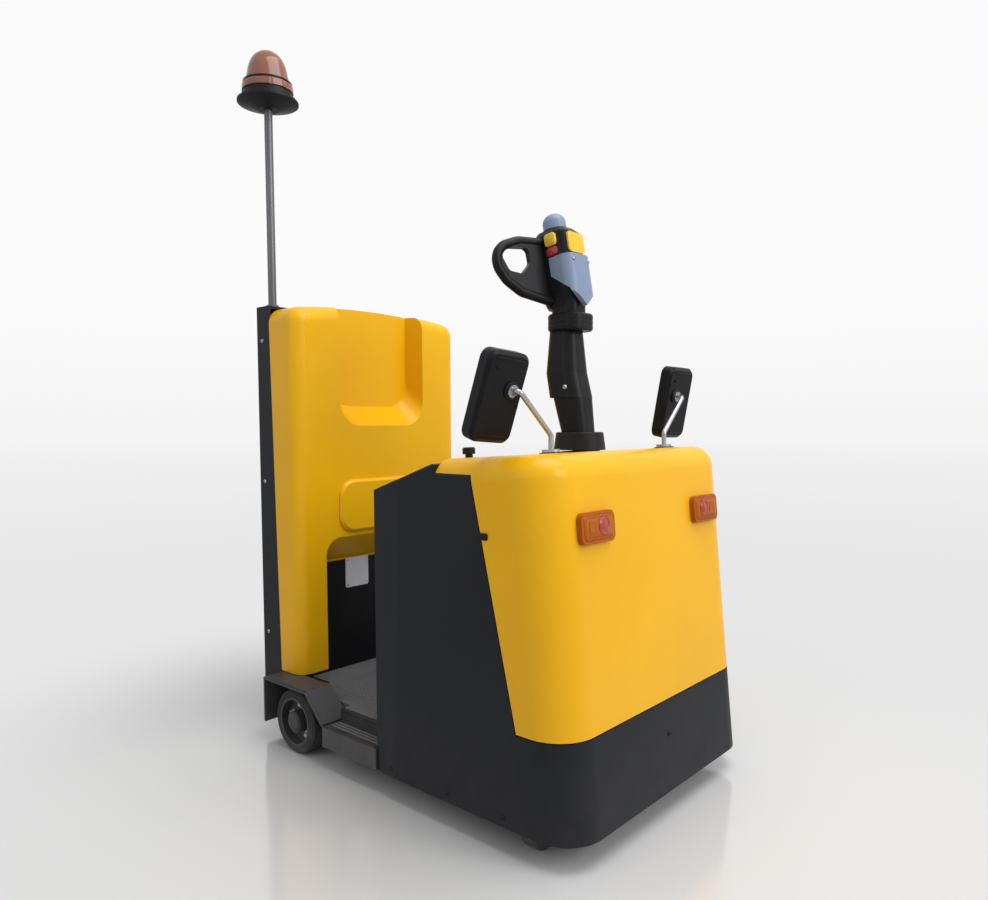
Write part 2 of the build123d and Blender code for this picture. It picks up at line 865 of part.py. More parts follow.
with BuildPart() as tiller_column:
    for sections in (neck_sections, shell_sections):
        for z, x, depth, width, radius in sections:
            with BuildSketch(Plane.XY.offset(z)):
                with Locations((x, 0)):
                    RectangleRounded(depth, width, radius)
        loft(ruled=True)
save(tiller_column.part, "tiller_column")

with BuildPart() as tiller_ring:
    with BuildSketch(Plane.XY.offset(column_top_z)):
        with Locations((ring_x, 0)):
            RectangleRounded(ring_depth, ring_width, ring_corner_radius)
    extrude(amount=ring_height)
    chamfer(tiller_ring.edges().group_by(Axis.Z)[-1], ring_edge)
    chamfer(tiller_ring.edges().group_by(Axis.Z)[0], ring_edge)
save(tiller_ring.part, "tiller_ring")

# Head on its own leaning plane: local x forward, local z along the head
tilt = math.radians(head_tilt)
head_z = column_top_z + ring_height
head_plane = Plane(
    origin=(head_x, 0, head_z),
    x_dir=(math.cos(tilt), 0, math.sin(tilt)),
    z_dir=(-math.sin(tilt), 0, math.cos(tilt)),
)
front_view = Plane(origin=head_plane.origin, x_dir=(0, 1, 0), z_dir=head_plane.x_dir)
side_view = Plane(origin=head_plane.origin, x_dir=head_plane.x_dir, z_dir=(0, -1, 0))
sweep_angle = math.radians(loop_sweep)
with BuildPart() as tiller_head:
    for pair in ((head_foot_section, head_low_section), (head_high_section, head_top_section)):
        for up, depth, width, radius in pair:
            with BuildSketch(head_plane.offset(up)):
                RectangleRounded(depth, width, radius)
        loft(ruled=True)
    with BuildSketch(head_plane.offset(head_low)):
        RectangleRounded(head_depth, head_width, head_corner_radius)
    extrude(amount=head_high - head_low)
    with BuildSketch(Plane.XY.offset(head_z)):
        with Locations(((ring_x + head_x) / 2, 0)):
            RectangleRounded(ring_depth - 28, ring_width - 24, head_corner_radius)
    extrude(amount=head_neck_height)
    for side in (-1, 1):
        outward = Vector(0, side, 0) * math.cos(sweep_angle) - head_plane.x_dir * math.sin(sweep_angle)
        loop_origin = head_plane.from_local_coords((-loop_setback, 0, 0))
        loop_plane = Plane(origin=loop_origin, x_dir=outward, z_dir=outward.cross(head_plane.z_dir))
        with BuildLine(loop_plane) as loop_path:
            FilletPolyline(*loop_points, radius=loop_bend)
        with BuildSketch(Plane(origin=loop_path.line @ 0, z_dir=loop_path.line % 0)):
            Circle(loop_radius)
        sweep(path=loop_path.line)
        with BuildSketch(loop_plane):
            with BuildLine():
                FilletPolyline(*loop_points, radius=loop_bend)
                Line(loop_points[-1], loop_points[0])
            make_face()
            with BuildLine():
                FilletPolyline(*loop_hole_points, radius=loop_hole_bend, close=True)
            make_face(mode=Mode.SUBTRACT)
        extrude(amount=loop_web / 2, both=True)
save(tiller_head.part, "tiller_head")

with BuildPart() as tiller_dome:
    with BuildSketch(head_plane.offset(head_top)):
        Circle(tiller_dome_radius)
    extrude(amount=tiller_dome_height)
    fillet(tiller_dome.edges().filter_by(GeomType.CIRCLE).sort_by(Axis.Z)[-1], tiller_dome_edge)
save(tiller_dome.part, "tiller_dome")

# Shield shaped cover wrapped round the head's front
with BuildPart() as tiller_cap:
    with BuildSketch(head_plane):
        RectangleRounded(head_depth + 2 * cap_front, head_width + 2 * cap_side, cap_corner_radius)
        RectangleRounded(
            head_depth + 2 * seat_gap, head_width + 2 * seat_gap, head_corner_radius, mode=Mode.SUBTRACT)
    extrude(amount=cap_top)
    with BuildSketch(side_view):
        with BuildLine():
            Polyline(
                (cap_back, cap_top),
                (cap_back, cap_side_low),
                (head_depth / 2, cap_front_low),
                (head_depth / 2, 0),
                (head_depth / 2 + cap_front, 0),
                (head_depth / 2 + cap_front, cap_top),
                close=True,
            )
        make_face()
    extrude(amount=head_width, both=True, mode=Mode.INTERSECT)
    with BuildSketch(front_view):
        with BuildLine():
            Polyline(
                (-head_width / 2 - cap_side, cap_top),
                (head_width / 2 + cap_side, cap_top),
                (head_width / 2 + cap_side, cap_front_low),
                (0, cap_tip),
                (-head_width / 2 - cap_side, cap_front_low),
                close=True,
            )
        make_face()
    extrude(amount=head_depth, both=True, mode=Mode.INTERSECT)
save(tiller_cap.part, "tiller_cap")

with BuildPart() as tiller_plaque:
    with BuildSketch(front_view.offset(head_depth / 2)):
        with Locations((0, (plaque_low + plaque_high) / 2)):
            RectangleRounded(plaque_width, plaque_high - plaque_low, plaque_corner)
    extrude(amount=plaque_thickness)
save(tiller_plaque.part, "tiller_plaque")


def head_side_plane(side, forward, up):
    """Plane on a flat side of the head, its local x forward."""
    return Plane(
        origin=head_plane.from_local_coords((forward, side * head_width / 2, up)),
        x_dir=head_plane.x_dir,
        z_dir=(0, side, 0),
    )


with BuildPart() as thumb_switches:
    for side in (-1, 1):
        with BuildSketch(head_side_plane(side, paddle_forward, paddle_up)):
            RectangleRounded(paddle_width, paddle_height, paddle_corner)
        extrude(amount=paddle_thickness)
save(thumb_switches.part, "thumb_switches")

with BuildPart() as side_buttons:
    for side in (-1, 1):
        with BuildSketch(head_side_plane(side, paddle_forward, side_button_up)):
            RectangleRounded(side_button_width, side_button_height, side_button_corner)
        extrude(amount=side_button_thickness)
save(side_buttons.part, "side_buttons")

with BuildPart() as reverse_button:
    with BuildSketch(front_view.offset(-head_depth / 2)):
        with Locations((0, reverse_button_up)):
            Circle(reverse_button_radius)
    extrude(amount=-reverse_button_thickness)
save(reverse_button.part, "reverse_button")

# Backrest: black sheet channel behind, moulded cover in front
cover_side = [
    (rear_x, skirt_z),
    (rear_x, back_top_z),
    (back_flange_top_x, back_top_z),
    (back_flange_bottom_x, cover_bottom_z),
    (back_flange_bottom_x, skirt_z),
]
with BuildPart() as backrest_frame:
    with BuildSketch(Plane.XZ.offset(-back_half_width)):
        with BuildLine():
            Polyline(cover_side, close=True)
        make_face()
    extrude(amount=2 * back_half_width)
    with BuildSketch(Plane.XZ.offset(-(back_half_width - back_sheet))):
        with BuildLine():
            Polyline(
                (rear_x + back_sheet, skirt_z - 10),
                (rear_x + back_sheet, back_top_z - back_sheet),
                (cover_front_x, back_top_z - back_sheet),
                (cover_front_x, skirt_z - 10),
                close=True,
            )
        make_face()
    extrude(amount=2 * (back_half_width - back_sheet), mode=Mode.SUBTRACT)
save(backrest_frame.part, "backrest_frame")


def tapered_space(stations, radius):
    """Space through rounded openings, each given by its x, half width, low z and high z."""
    with BuildPart() as space:
        for x, half, low, high in stations:
            with BuildSketch(Plane.YZ.offset(x)):
                with Locations((0, (low + high) / 2)):
                    RectangleRounded(2 * half, high - low, radius)
        loft(ruled=True)
    return space.part


# Scoop for the operator's back, open at the top
scoop_top_z = cover_crown_z + 2 * scoop_corner_radius
scoop_space = tapered_space((
    (cover_front_x + pad_depth, scoop_half_width, scoop_lip_z, scoop_top_z),
    (cover_front_x - scoop_depth, scoop_back_half_width, scoop_back_z, scoop_top_z),
), scoop_corner_radius)
# Arch over the platform, its roof sloping down to the inner panel
arch_space = tapered_space((
    (cover_front_x + 1, arch_half_width, skirt_z, arch_top_z),
    (arch_back_x - panel_thickness, arch_half_width, skirt_z, arch_back_top_z),
), arch_corner_radius)
cover_back_x = back_flange_top_x - 1
with BuildPart() as backrest_cover:
    with BuildSketch(Plane.YZ.offset(cover_back_x)):
        with BuildLine():
            Polyline(
                (-back_half_width, cover_side_top_z),
                (-back_half_width, cover_bottom_z),
                (back_half_width, cover_bottom_z),
                (back_half_width, cover_side_top_z),
            )
            ThreePointArc(
                (back_half_width, cover_side_top_z), (0, cover_crown_z), (-back_half_width, cover_side_top_z))
        make_face()
    extrude(amount=cover_front_x - cover_back_x)
    top_corners = backrest_cover.edges().filter_by(Axis.X).group_by(Axis.Z)[-1]
    fillet(top_corners, cover_corner_radius)
    front_rim = backrest_cover.faces().sort_by(Axis.X)[-1].edges()
    fillet(front_rim.filter_by(lambda e: (e @ 0.5).Z > cover_bottom_z + 1), cover_edge_radius)
    with BuildSketch(Plane.XZ):
        with BuildLine():
            Polyline(
                (cover_back_x - 1, cover_bottom_z),
                (back_flange_bottom_x, cover_bottom_z),
                (back_flange_top_x, back_top_z),
                (back_flange_top_x, cover_crown_z + 1),
                (cover_back_x - 1, cover_crown_z + 1),
                close=True,
            )
        make_face()
    extrude(amount=back_half_width, both=True, mode=Mode.SUBTRACT)
    # Raised pad between the scoop and the arch
    with BuildSketch(Plane.YZ.offset(cover_front_x)):
        with Locations((0, (pad_bottom_z + pad_top_z) / 2)):
            RectangleRounded(2 * pad_half_width, pad_top_z - pad_bottom_z, pad_corner_radius)
    extrude(amount=pad_depth)
    chamfer(backrest_cover.faces().sort_by(Axis.X)[-1].edges(), pad_bevel)
    add(scoop_space, mode=Mode.SUBTRACT)
    add(arch_space, mode=Mode.SUBTRACT)
save(backrest_cover.part, "backrest_cover")

panel_top_z = arch_back_top_z - panel_gap
with BuildPart() as arch_panel:
    with BuildSketch(Plane.YZ.offset(arch_back_x)):
        with Locations((0, (panel_top_z + floor_z) / 2)):
            Rectangle(2 * (arch_half_width - panel_side_gap), panel_top_z - floor_z)
    extrude(amount=-panel_thickness)
    fillet(arch_panel.edges().filter_by(Axis.X).group_by(Axis.Z)[-1], arch_corner_radius)
save(arch_panel.part, "arch_panel")

with BuildPart() as blank_plate:
    with BuildSketch(Plane.YZ.offset(arch_back_x)):
        with Locations((blank_plate_y, blank_plate_z)):
            RectangleRounded(blank_plate_width, blank_plate_height, blank_plate_corner)
    extrude(amount=blank_plate_thickness)
save(blank_plate.part, "blank_plate")

# Tow coupling
jaw_tip_x = rear_x - coupling_reach
jaw_length = coupling_reach - coupling_plate
tow_pin_x = jaw_tip_x + tow_pin_inset
jaw_top_z = coupling_z + jaw_gap / 2 + jaw_plate
jaw_bottom_z = coupling_z - jaw_gap / 2 - jaw_plate
with BuildPart() as tow_jaw:
    with BuildSketch(Plane.YZ.offset(rear_x)):
        with Locations((0, coupling_z)):
            RectangleRounded(coupling_plate_width, coupling_plate_height, coupling_plate_corner)
    extrude(amount=-coupling_plate)
    for end in (-1, 1):
        with BuildSketch(Plane.XY.offset(coupling_z + end * (jaw_gap + jaw_plate) / 2)):
            with Locations((jaw_tip_x + jaw_length / 2, 0)):
                Rectangle(jaw_length, jaw_width)
        extrude(amount=jaw_plate / 2, both=True)
    jaw_corners = tow_jaw.edges().filter_by(Axis.Z).group_by(Axis.X)[0]
    fillet(jaw_corners, (jaw_width - jaw_nose_flat) / 2)
    with Locations((tow_pin_x, 0, coupling_z)):
        Cylinder(tow_pin_radius + running_gap, 3 * jaw_gap, mode=Mode.SUBTRACT)
save(tow_jaw.part, "tow_jaw")

with BuildPart() as tow_pin:
    with Locations((tow_pin_x, 0, jaw_bottom_z - tow_pin_tail)):
        Cylinder(
            tow_pin_radius, tow_pin_tail + jaw_top_z - jaw_bottom_z + tow_pin_neck,
            align=(Align.CENTER, Align.CENTER, Align.MIN))
    with Locations((tow_pin_x, 0, jaw_top_z + seat_gap)):
        Cylinder(tow_pin_collar_radius, tow_pin_collar, align=(Align.CENTER, Align.CENTER, Align.MIN))
    with Locations((tow_pin_x, 0, jaw_top_z + tow_pin_neck)):
        Cylinder(tow_pin_head_radius, tow_pin_head, align=(Align.CENTER, Align.CENTER, Align.MIN))
    chamfer(tow_pin.edges().group_by(Axis.Z)[-1], tow_pin_head_edge)
save(tow_pin.part, "tow_pin")

# Beacon on its pole
with BuildPart() as beacon_pole:
    with BuildSketch(Plane.XY.offset(back_top_z)):
        with Locations((pole_x, pole_y)):
            Circle(pole_radius)
    extrude(amount=pole_top_z - back_top_z)
    with BuildSketch(Plane.XY.offset(back_top_z)):
        with Locations((pole_x, pole_y)):
            Circle(pole_foot_radius)
    extrude(amount=pole_foot)
save(beacon_pole.part, "beacon_pole")

beacon_plane = Plane(origin=(pole_x, pole_y, pole_top_z), x_dir=(1, 0, 0), z_dir=(0, -1, 0))
beacon_axis = Axis((pole_x, pole_y, pole_top_z), (0, 0, 1))
with BuildPart() as beacon_base:
    with BuildSketch(beacon_plane):
        with BuildLine():
            Polyline((0, 0), *beacon_profile, (0, beacon_base_height), close=True)
        make_face()
    revolve(axis=beacon_axis)
save(beacon_base.part, "beacon_base")

with BuildPart() as beacon_dome:
    with BuildSketch(beacon_plane):
        with BuildLine():
            Polyline(
                (0, beacon_height),
                (0, beacon_base_height),
                (dome_radius, beacon_base_height),
                (dome_shoulder_radius, dome_shoulder_height),
            )
            ThreePointArc(
                (dome_shoulder_radius, dome_shoulder_height),
                (dome_crown_radius, dome_crown_height),
                (dome_flat_radius, beacon_height))
            Line((dome_flat_radius, beacon_height), (0, beacon_height))
        make_face()
    revolve(axis=beacon_axis)
save(beacon_dome.part, "beacon_dome")

# Front lamps on the raked face
rake_angle = math.atan(front_rake)


def lamp_plane(side):
    """Plane on the front face under a lamp."""
    return Plane(
        origin=(front_line_x(lamp_z), side * lamp_y, lamp_z),
        x_dir=(0, 1, 0),
        z_dir=(math.cos(rake_angle), 0, math.sin(rake_angle)),
    )


with BuildPart() as lamp_bezels:
    for side in (-1, 1):
        with BuildSketch(lamp_plane(side)):
            RectangleRounded(lamp_width, lamp_height, lamp_corner_radius)
            RectangleRounded(
                lamp_width - 2 * lamp_rim, lamp_height - 2 * lamp_rim,
                lamp_corner_radius - lamp_rim, mode=Mode.SUBTRACT)
        extrude(amount=lamp_depth)
save(lamp_bezels.part, "lamp_bezels")

lens_rim = lamp_rim + seat_gap
with BuildPart() as lamp_lenses:
    for side in (-1, 1):
        with BuildSketch(lamp_plane(side)):
            RectangleRounded(
                lamp_width - 2 * lens_rim, lamp_height - 2 * lens_rim, lamp_corner_radius - lens_rim)
        extrude(amount=lamp_depth)
        with BuildSketch(lamp_plane(side).offset(lamp_depth)):
            RectangleRounded(
                lamp_width - 2 * lens_rim, lamp_height - 2 * lens_rim, lamp_corner_radius - lens_rim)
        extrude(amount=lamp_lens_rise, taper=40)
save(lamp_lenses.part, "lamp_lenses")


# Mirrors on bent arms
def mirror_plane(side, toe, lean, roll):
    """Plane through a mirror's middle: local z looks forward, local y up."""
    turn = math.radians(toe)
    tip = math.radians(lean)
    spin = math.radians(roll)
    ahead = Vector(math.cos(turn), side * math.sin(turn), 0)
    up = ahead * math.sin(tip) + Vector(0, 0, math.cos(tip))
    across = up.cross(ahead).normalized()
    return Plane(
        origin=(mirror_x, side * mirror_y, mirror_z),
        x_dir=across * math.cos(spin) + up * math.sin(spin),
        z_dir=across.cross(up),
    )


with BuildPart() as mirror_housings:
    for setting in mirror_settings:
        with BuildSketch(mirror_plane(*setting).offset(-mirror_depth / 2)):
            RectangleRounded(mirror_width, mirror_height, mirror_corner_radius)
            RectangleRounded(
                mirror_width - 2 * mirror_rim, mirror_height - 2 * mirror_rim,
                mirror_corner_radius - mirror_rim, mode=Mode.SUBTRACT)
        extrude(amount=mirror_recess)
        with BuildSketch(mirror_plane(*setting).offset(mirror_recess - mirror_depth / 2)):
            RectangleRounded(mirror_width, mirror_height, mirror_corner_radius)
        extrude(amount=mirror_depth - mirror_recess - mirror_bevel)
        with BuildSketch(mirror_plane(*setting).offset(mirror_depth / 2 - mirror_bevel)):
            RectangleRounded(mirror_width, mirror_height, mirror_corner_radius)
        extrude(amount=mirror_bevel, taper=45)
save(mirror_housings.part, "mirror_housings")

glass_rim = mirror_rim + seat_gap
with BuildPart() as mirror_glasses:
    for setting in mirror_settings:
        glass_plane = mirror_plane(*setting).offset(mirror_recess - mirror_glass_thickness - mirror_depth / 2)
        with BuildSketch(glass_plane):
            RectangleRounded(
                mirror_width - 2 * glass_rim, mirror_height - 2 * glass_rim, mirror_corner_radius - glass_rim)
        extrude(amount=mirror_glass_thickness)
save(mirror_glasses.part, "mirror_glasses")

with BuildPart() as mirror_arms:
    for setting in mirror_settings:
        side = setting[0]
        joint_plane = mirror_plane(*setting).offset(mirror_depth / 2)
        joint = joint_plane.from_local_coords((-side * mirror_joint_in, mirror_joint_up, 0))
        joint_end = joint + joint_plane.z_dir * (mirror_joint / 2)
        foot = deck_plane(mirror_foot_x, side * mirror_foot_y)
        with BuildLine() as arm_path:
            FilletPolyline(
                foot.origin,
                foot.origin + Vector(0, 0, mirror_arm_rise),
                joint_end + Vector(mirror_arm_reach, 0, 0),
                joint_end,
                radius=mirror_arm_bend,
            )
        with BuildSketch(Plane(origin=arm_path.line @ 0, z_dir=arm_path.line % 0)):
            Circle(mirror_arm_radius)
        sweep(path=arm_path.line)
        with BuildSketch(foot):
            Circle(mirror_foot_radius)
        extrude(amount=mirror_foot)
        with BuildSketch(Plane(origin=joint, z_dir=joint_plane.z_dir)):
            Circle(mirror_joint_radius)
        extrude(amount=mirror_joint)
    with BuildSketch(Plane.XZ):
        with BuildLine():
            Polyline(
                (hood_rear_x, deck_z(hood_rear_x)),
                (front_x, deck_z(front_x)),
                (front_x, deck_z(front_x) - 60),
                (hood_rear_x, deck_z(hood_rear_x) - 60),
                close=True,
            )
        make_face()
    extrude(amount=half_width, both=True, mode=Mode.SUBTRACT)
save(mirror_arms.part, "mirror_arms")

with BuildPart() as deck_knob:
    knob_base = deck_plane(hood_rear_x + knob_forward, knob_inset - half_width)
    with BuildSketch(knob_base):
        Circle(knob_stem_radius)
    extrude(amount=knob_stem)
    with BuildSketch(knob_base.offset(knob_stem)):
        Circle(knob_radius)
    extrude(amount=knob_height)
    chamfer(deck_knob.edges().group_by(Axis.Z)[-1], knob_edge)
save(deck_knob.part, "deck_knob")
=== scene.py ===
import json
import math

import bmesh
import bpy
from mathutils import Matrix, Vector


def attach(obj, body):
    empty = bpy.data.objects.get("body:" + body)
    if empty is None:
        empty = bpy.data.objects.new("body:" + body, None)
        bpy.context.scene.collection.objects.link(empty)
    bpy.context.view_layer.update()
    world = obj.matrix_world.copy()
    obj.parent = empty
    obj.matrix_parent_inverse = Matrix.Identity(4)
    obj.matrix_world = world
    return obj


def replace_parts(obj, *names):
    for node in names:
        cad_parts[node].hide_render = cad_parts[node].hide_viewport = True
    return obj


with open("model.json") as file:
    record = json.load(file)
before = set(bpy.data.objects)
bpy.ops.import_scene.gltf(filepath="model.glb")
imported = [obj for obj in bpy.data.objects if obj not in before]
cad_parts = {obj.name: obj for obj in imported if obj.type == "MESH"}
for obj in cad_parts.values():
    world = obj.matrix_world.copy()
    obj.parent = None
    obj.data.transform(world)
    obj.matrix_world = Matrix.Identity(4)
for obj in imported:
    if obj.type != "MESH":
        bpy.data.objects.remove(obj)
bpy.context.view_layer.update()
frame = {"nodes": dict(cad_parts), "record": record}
nodes = frame["nodes"]

# The photograph's viewpoint, worked out from the tractor's own edges
CAMERA_PLACE = Vector((1.5538, -1.6473, 0.9348))
CAMERA_YAW = math.radians(131.58)
CAMERA_PITCH = math.radians(-3.958)
CAMERA_ROLL = math.radians(-0.194)
PHOTO_WIDTH = 988
FOCAL_PIXELS = 788.55
AXIS_BELOW_MIDDLE = 27.12
SENSOR_WIDTH = 36.0


def add_camera():
    """Camera with the photograph's place, direction and field of view."""
    ahead = Vector((
        math.cos(CAMERA_YAW) * math.cos(CAMERA_PITCH),
        math.sin(CAMERA_YAW) * math.cos(CAMERA_PITCH),
        math.sin(CAMERA_PITCH),
    ))
    level = ahead.cross(Vector((0, 0, 1))).normalized()
    above = level.cross(ahead)
    right = level * math.cos(CAMERA_ROLL) + above * math.sin(CAMERA_ROLL)
    up = above * math.cos(CAMERA_ROLL) - level * math.sin(CAMERA_ROLL)
    data = bpy.data.cameras.new("photo_camera")
    data.sensor_width = SENSOR_WIDTH
    data.lens = FOCAL_PIXELS / PHOTO_WIDTH * SENSOR_WIDTH
    data.shift_y = AXIS_BELOW_MIDDLE / PHOTO_WIDTH
    camera = bpy.data.objects.new("photo_camera", data)
    turn = Matrix((right, up, -ahead)).transposed()
    camera.matrix_world = Matrix.Translation(CAMERA_PLACE) @ turn.to_4x4()
    bpy.context.scene.collection.objects.link(camera)
    bpy.context.scene.camera = camera


add_camera()

# Shader helpers


def new_group(name, inputs, outputs):
    """Empty node group with named sockets, and its entry and exit nodes."""
    group = bpy.data.node_groups.new(name, "ShaderNodeTree")
    for label, kind, value in inputs:
        socket = group.interface.new_socket(label, in_out="INPUT", socket_type=kind)
        if value is not None:
            socket.default_value = value
    for label, kind in outputs:
        group.interface.new_socket(label, in_out="OUTPUT", socket_type=kind)
    return group, group.nodes.new("NodeGroupInput"), group.nodes.new("NodeGroupOutput")


def add_math(tree, operation):
    """Math node that does one operation."""
    node = tree.nodes.new("ShaderNodeMath")
    node.operation = operation
    return node


def set_greys(node, stops):
    """Give a colour ramp its grey stops, as position and tone pairs."""
    ramp = node.color_ramp
    for element, (position, tone) in zip(ramp.elements, (stops[0], stops[-1])):
        element.position = position
        element.color = (tone, tone, tone, 1)
    for position, tone in stops[1:-1]:
        ramp.elements.new(position).color = (tone, tone, tone, 1)


FLOAT = "NodeSocketFloat"
COLOR = "NodeSocketColor"
VECTOR = "NodeSocketVector"

# Scratches run fore and aft: their noise is squeezed along z, and they thin out up to this height
SCUFF_STRETCH = (6.0, 10.0, 150.0)
SCUFF_TOP_Z = 0.6


def build_moulded_grain():
    """Fine leathery or sprayed grain: a height and a slight change of roughness."""
    group, entry, leave = new_group(
        "moulded_grain",
        [("Place", VECTOR, None), ("Scale", FLOAT, 300.0), ("Roughness", FLOAT, 0.4), ("Spread", FLOAT, 0.06)],
        [("Height", FLOAT), ("Roughness", FLOAT)],
    )
    noise = group.nodes.new("ShaderNodeTexNoise")
    noise.inputs["Detail"].default_value = 3.0
    cells = group.nodes.new("ShaderNodeTexVoronoi")
    blend = add_math(group, "MULTIPLY")
    centred = add_math(group, "SUBTRACT")
    centred.inputs[1].default_value = 0.5
    spread = add_math(group, "MULTIPLY_ADD")
    link = group.links.new
    link(entry.outputs["Place"], noise.inputs["Vector"])
    link(entry.outputs["Place"], cells.inputs["Vector"])
    link(entry.outputs["Scale"], noise.inputs["Scale"])
    link(entry.outputs["Scale"], cells.inputs["Scale"])
    link(noise.outputs["Fac"], blend.inputs[0])
    link(cells.outputs["Distance"], blend.inputs[1])
    link(noise.outputs["Fac"], centred.inputs[0])
    link(centred.outputs[0], spread.inputs[0])
    link(entry.outputs["Spread"], spread.inputs[1])
    link(entry.outputs["Roughness"], spread.inputs[2])
    link(blend.outputs[0], leave.inputs["Height"])
    link(spread.outputs[0], leave.inputs["Roughness"])
    return group


def build_tone_drift():
    """Slow change between two close tones over a large panel."""
    group, entry, leave = new_group(
        "tone_drift",
        [("Place", VECTOR, None), ("Scale", FLOAT, 3.0), ("First", COLOR, (1, 1, 1, 1)),
         ("Second", COLOR, (0, 0, 0, 1))],
        [("Color", COLOR)],
    )
    noise = group.nodes.new("ShaderNodeTexNoise")
    noise.inputs["Detail"].default_value = 4.0
    ramp = group.nodes.new("ShaderNodeMapRange")
    ramp.inputs["From Min"].default_value = 0.35
    ramp.inputs["From Max"].default_value = 0.65
    mix = group.nodes.new("ShaderNodeMix")
    mix.data_type = "RGBA"
    link = group.links.new
    link(entry.outputs["Place"], noise.inputs["Vector"])
    link(entry.outputs["Scale"], noise.inputs["Scale"])
    link(noise.outputs["Fac"], ramp.inputs["Value"])
    link(ramp.outputs["Result"], mix.inputs["Factor"])
    link(entry.outputs["First"], mix.inputs["A"])
    link(entry.outputs["Second"], mix.inputs["B"])
    link(mix.outputs["Result"], leave.inputs["Color"])
    return group


def build_floor_dust():
    """Pale dust that thins out with height above the floor, broken up by noise."""
    group, entry, leave = new_group(
        "floor_dust",
        [("Place", VECTOR, None), ("Color", COLOR, (1, 1, 1, 1)), ("Dust", COLOR, (0.35, 0.33, 0.3, 1)),
         ("Top", FLOAT, 0.3), ("Amount", FLOAT, 0.2)],
        [("Color", COLOR)],
    )
    split = group.nodes.new("ShaderNodeSeparateXYZ")
    fade = group.nodes.new("ShaderNodeMapRange")
    fade.inputs["To Min"].default_value = 1.0
    fade.inputs["To Max"].default_value = 0.0
    noise = group.nodes.new("ShaderNodeTexNoise")
    noise.inputs["Scale"].default_value = 22.0
    noise.inputs["Detail"].default_value = 6.0
    broken = add_math(group, "MULTIPLY")
    amount = add_math(group, "MULTIPLY")
    mix = group.nodes.new("ShaderNodeMix")
    mix.data_type = "RGBA"
    link = group.links.new
    link(entry.outputs["Place"], split.inputs[0])
    link(split.outputs["Z"], fade.inputs["Value"])
    link(entry.outputs["Top"], fade.inputs["From Max"])
    link(entry.outputs["Place"], noise.inputs["Vector"])
    link(fade.outputs["Result"], broken.inputs[0])
    link(noise.outputs["Fac"], broken.inputs[1])
    link(broken.outputs[0], amount.inputs[0])
    link(entry.outputs["Amount"], amount.inputs[1])
    link(amount.outputs[0], mix.inputs["Factor"])
    link(entry.outputs["Color"], mix.inputs["A"])
    link(entry.outputs["Dust"], mix.inputs["B"])
    link(mix.outputs["Result"], leave.inputs["Color"])
    return group


def build_handling_scuffs():
    """Fine pale scratches that run along the machine, thicker towards the floor."""
    group, entry, leave = new_group(
        "handling_scuffs",
        [("Place", VECTOR, None), ("Color", COLOR, (1, 1, 1, 1)), ("Mark", COLOR, (0.20, 0.20, 0.21, 1)),
         ("Amount", FLOAT, 0.2)],
        [("Color", COLOR)],
    )
    stretch = group.nodes.new("ShaderNodeVectorMath")
    stretch.operation = "MULTIPLY"
    stretch.inputs[1].default_value = SCUFF_STRETCH
    lines = group.nodes.new("ShaderNodeTexNoise")
    lines.inputs["Detail"].default_value = 5.0
    lines.inputs["Roughness"].default_value = 0.7
    sharp = group.nodes.new("ShaderNodeMapRange")
    sharp.inputs["From Min"].default_value = 0.66
    sharp.inputs["From Max"].default_value = 0.74
    split = group.nodes.new("ShaderNodeSeparateXYZ")
    low = group.nodes.new("ShaderNodeMapRange")
    low.inputs["From Max"].default_value = SCUFF_TOP_Z
    low.inputs["To Min"].default_value = 1.0
    low.inputs["To Max"].default_value = 0.15
    both = add_math(group, "MULTIPLY")
    amount = add_math(group, "MULTIPLY")
    mix = group.nodes.new("ShaderNodeMix")
    mix.data_type = "RGBA"
    link = group.links.new
    link(entry.outputs["Place"], stretch.inputs[0])
    link(stretch.outputs[0], lines.inputs["Vector"])
    link(lines.outputs["Fac"], sharp.inputs["Value"])
    link(entry.outputs["Place"], split.inputs[0])
    link(split.outputs["Z"], low.inputs["Value"])
    link(sharp.outputs["Result"], both.inputs[0])
    link(low.outputs["Result"], both.inputs[1])
    link(both.outputs[0], amount.inputs[0])
    link(entry.outputs["Amount"], amount.inputs[1])
    link(amount.outputs[0], mix.inputs["Factor"])
    link(entry.outputs["Color"], mix.inputs["A"])
    link(entry.outputs["Mark"], mix.inputs["B"])
    link(mix.outputs["Result"], leave.inputs["Color"])
    return group


GRAIN = build_moulded_grain()
DRIFT = build_tone_drift()
DUST = build_floor_dust()
SCUFFS = build_handling_scuffs()


